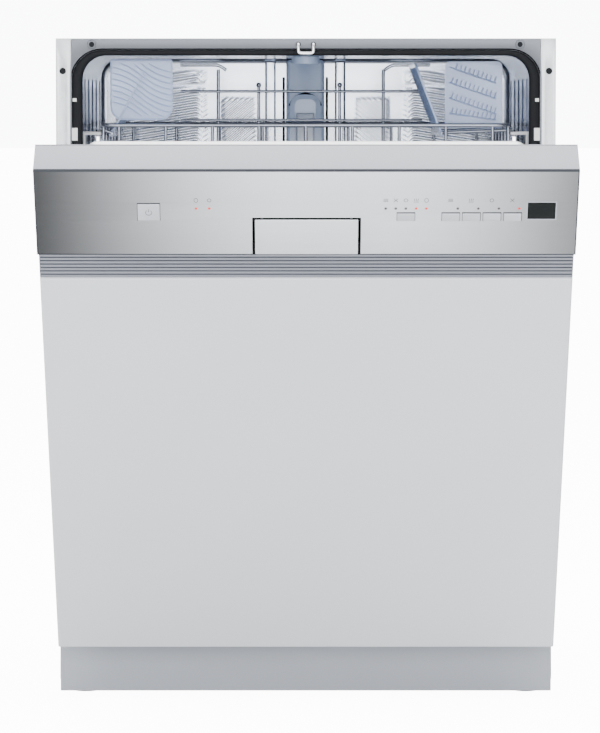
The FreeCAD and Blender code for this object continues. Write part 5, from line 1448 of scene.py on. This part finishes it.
# ------------------------------------------------------------------ studio
@dataclass
class Studio:
    """Pale floor, wide soft lights and a long lens in front of the door."""

    lens: float = 194.0
    distance: float = 4.735
    height: float = 0.7195
    pitch: float = math.radians(3.8)
    offset: float = -0.007
    backdrop_glow: float = 12.0
    floor_reach: float = 60.0
    sky_strength: float = 1.0

    def soft_light(self, name: str, place: Point, target: Point, size: tuple[float, float], power: float) -> None:
        """Adds one rectangular soft light.

        Args:
            name: its name.
            place: where it hangs.
            target: what it looks at.
            size: width and height.
            power: watts.
        """
        lamp = bpy.data.lights.new(name, "AREA")
        lamp.shape = "RECTANGLE"
        lamp.size, lamp.size_y = size
        lamp.energy = power
        holder = bpy.data.objects.new(name, lamp)
        holder.location = place
        way = Vector(target) - Vector(place)
        holder.rotation_euler = way.to_track_quat("-Z", "Y").to_euler()
        bpy.context.scene.collection.objects.link(holder)

    def floor(self) -> None:
        """Wide flat floor, as bright to the eye as the surroundings."""
        bm = bmesh.new()
        bmesh.ops.create_grid(bm, x_segments=1, y_segments=1, size=self.floor_reach)
        mesh = bpy.data.meshes.new("studio_floor")
        bm.to_mesh(mesh)
        bm.free()
        material = STUDIO_WHITE.material()
        tree = material.node_tree
        shader = next(n for n in tree.nodes if n.bl_idname == "ShaderNodeBsdfPrincipled")
        ray = tree.nodes.new("ShaderNodeLightPath")
        shader.inputs["Emission Color"].default_value = (1, 1, 1, 1)
        tree.links.new(math_node(tree, "MULTIPLY", ray.outputs["Is Camera Ray"], self.backdrop_glow),
                       shader.inputs["Emission Strength"])
        mesh.materials.append(material)
        floor = bpy.data.objects.new("studio_floor", mesh)
        bpy.context.scene.collection.objects.link(floor)

    def sky(self) -> None:
        """Even pale surroundings, a little darker low down, so that metal has something to mirror."""
        world = bpy.data.worlds.new("studio_world")
        bpy.context.scene.world = world
        world.use_nodes = True
        tree = world.node_tree
        background = next(n for n in tree.nodes if n.bl_idname == "ShaderNodeBackground")
        where = tree.nodes.new("ShaderNodeTexCoord")
        split = tree.nodes.new("ShaderNodeSeparateXYZ")
        ramp = tree.nodes.new("ShaderNodeValToRGB")
        ramp.color_ramp.elements[0].position = 0.30
        ramp.color_ramp.elements[0].color = (0.62, 0.64, 0.68, 1)
        ramp.color_ramp.elements[1].position = 0.75
        ramp.color_ramp.elements[1].color = (1.0, 1.0, 1.0, 1)
        half = math_node(tree, "ADD", math_node(tree, "MULTIPLY", split.outputs["Z"], 0.5), 0.5)
        tree.links.new(where.outputs["Generated"], split.inputs[0])
        tree.links.new(half, ramp.inputs["Fac"])
        tree.links.new(ramp.outputs["Color"], background.inputs["Color"])
        ray = tree.nodes.new("ShaderNodeLightPath")
        seen = math_node(tree, "MULTIPLY", ray.outputs["Is Camera Ray"], self.backdrop_glow)
        tree.links.new(math_node(tree, "ADD", seen, self.sky_strength), background.inputs["Strength"])

    def camera(self) -> None:
        """Looks square on at the front, pitched slightly down."""
        data = bpy.data.cameras.new("camera")
        data.lens = self.lens
        data.sensor_width = 36.0
        data.sensor_height = 36.0
        data.sensor_fit = "VERTICAL"
        data.clip_start, data.clip_end = 0.1, 200.0
        holder = bpy.data.objects.new("camera", data)
        holder.location = (self.offset, -self.distance, self.height)
        holder.rotation_euler = (math.pi / 2 - self.pitch, 0, 0)
        bpy.context.scene.collection.objects.link(holder)
        bpy.context.scene.camera = holder

    def build(self) -> None:
        """Sets the stage."""
        self.floor()
        self.sky()
        self.soft_light("front_card", (0.3, -6.4, 1.3), (0, 0, 0.5), (4.4, 3.0), 330)
        self.soft_light("key_left", (-2.4, -2.6, 2.4), (0, 0, 0.5), (1.6, 1.6), 45)
        self.soft_light("top", (0.2, 0.6, 3.0), (0, 0.4, 0.0), (3.4, 2.4), 120)
        self.camera()


def main() -> None:
    """Builds the looks of the whole dishwasher."""
    logging.basicConfig(level=logging.WARNING)
    FrontFrame().build()
    Tub().build()
    Door().build()
    Console().build()
    UpperRack("upper", "upper_rack", "upper_rack", 32 * MM, 452 * MM, 596 * MM, 694 * MM, 9, 6).build()
    CupShelf(-1, 72 * MM, 272 * MM, "cup_shelf_left", web=True).build()
    CupShelf(1, 72 * MM, 332 * MM, "cup_shelf_right", math.radians(20.7), (165 * MM, 684 * MM)).build()
    StemComb().build()
    LowerRack("lower", "lower_rack", "lower_rack", 34 * MM, 460 * MM, 192 * MM, 305 * MM, 11, 8).build()
    dress_cabinet()
    Studio().build()


if __name__ == "__main__":
    main()
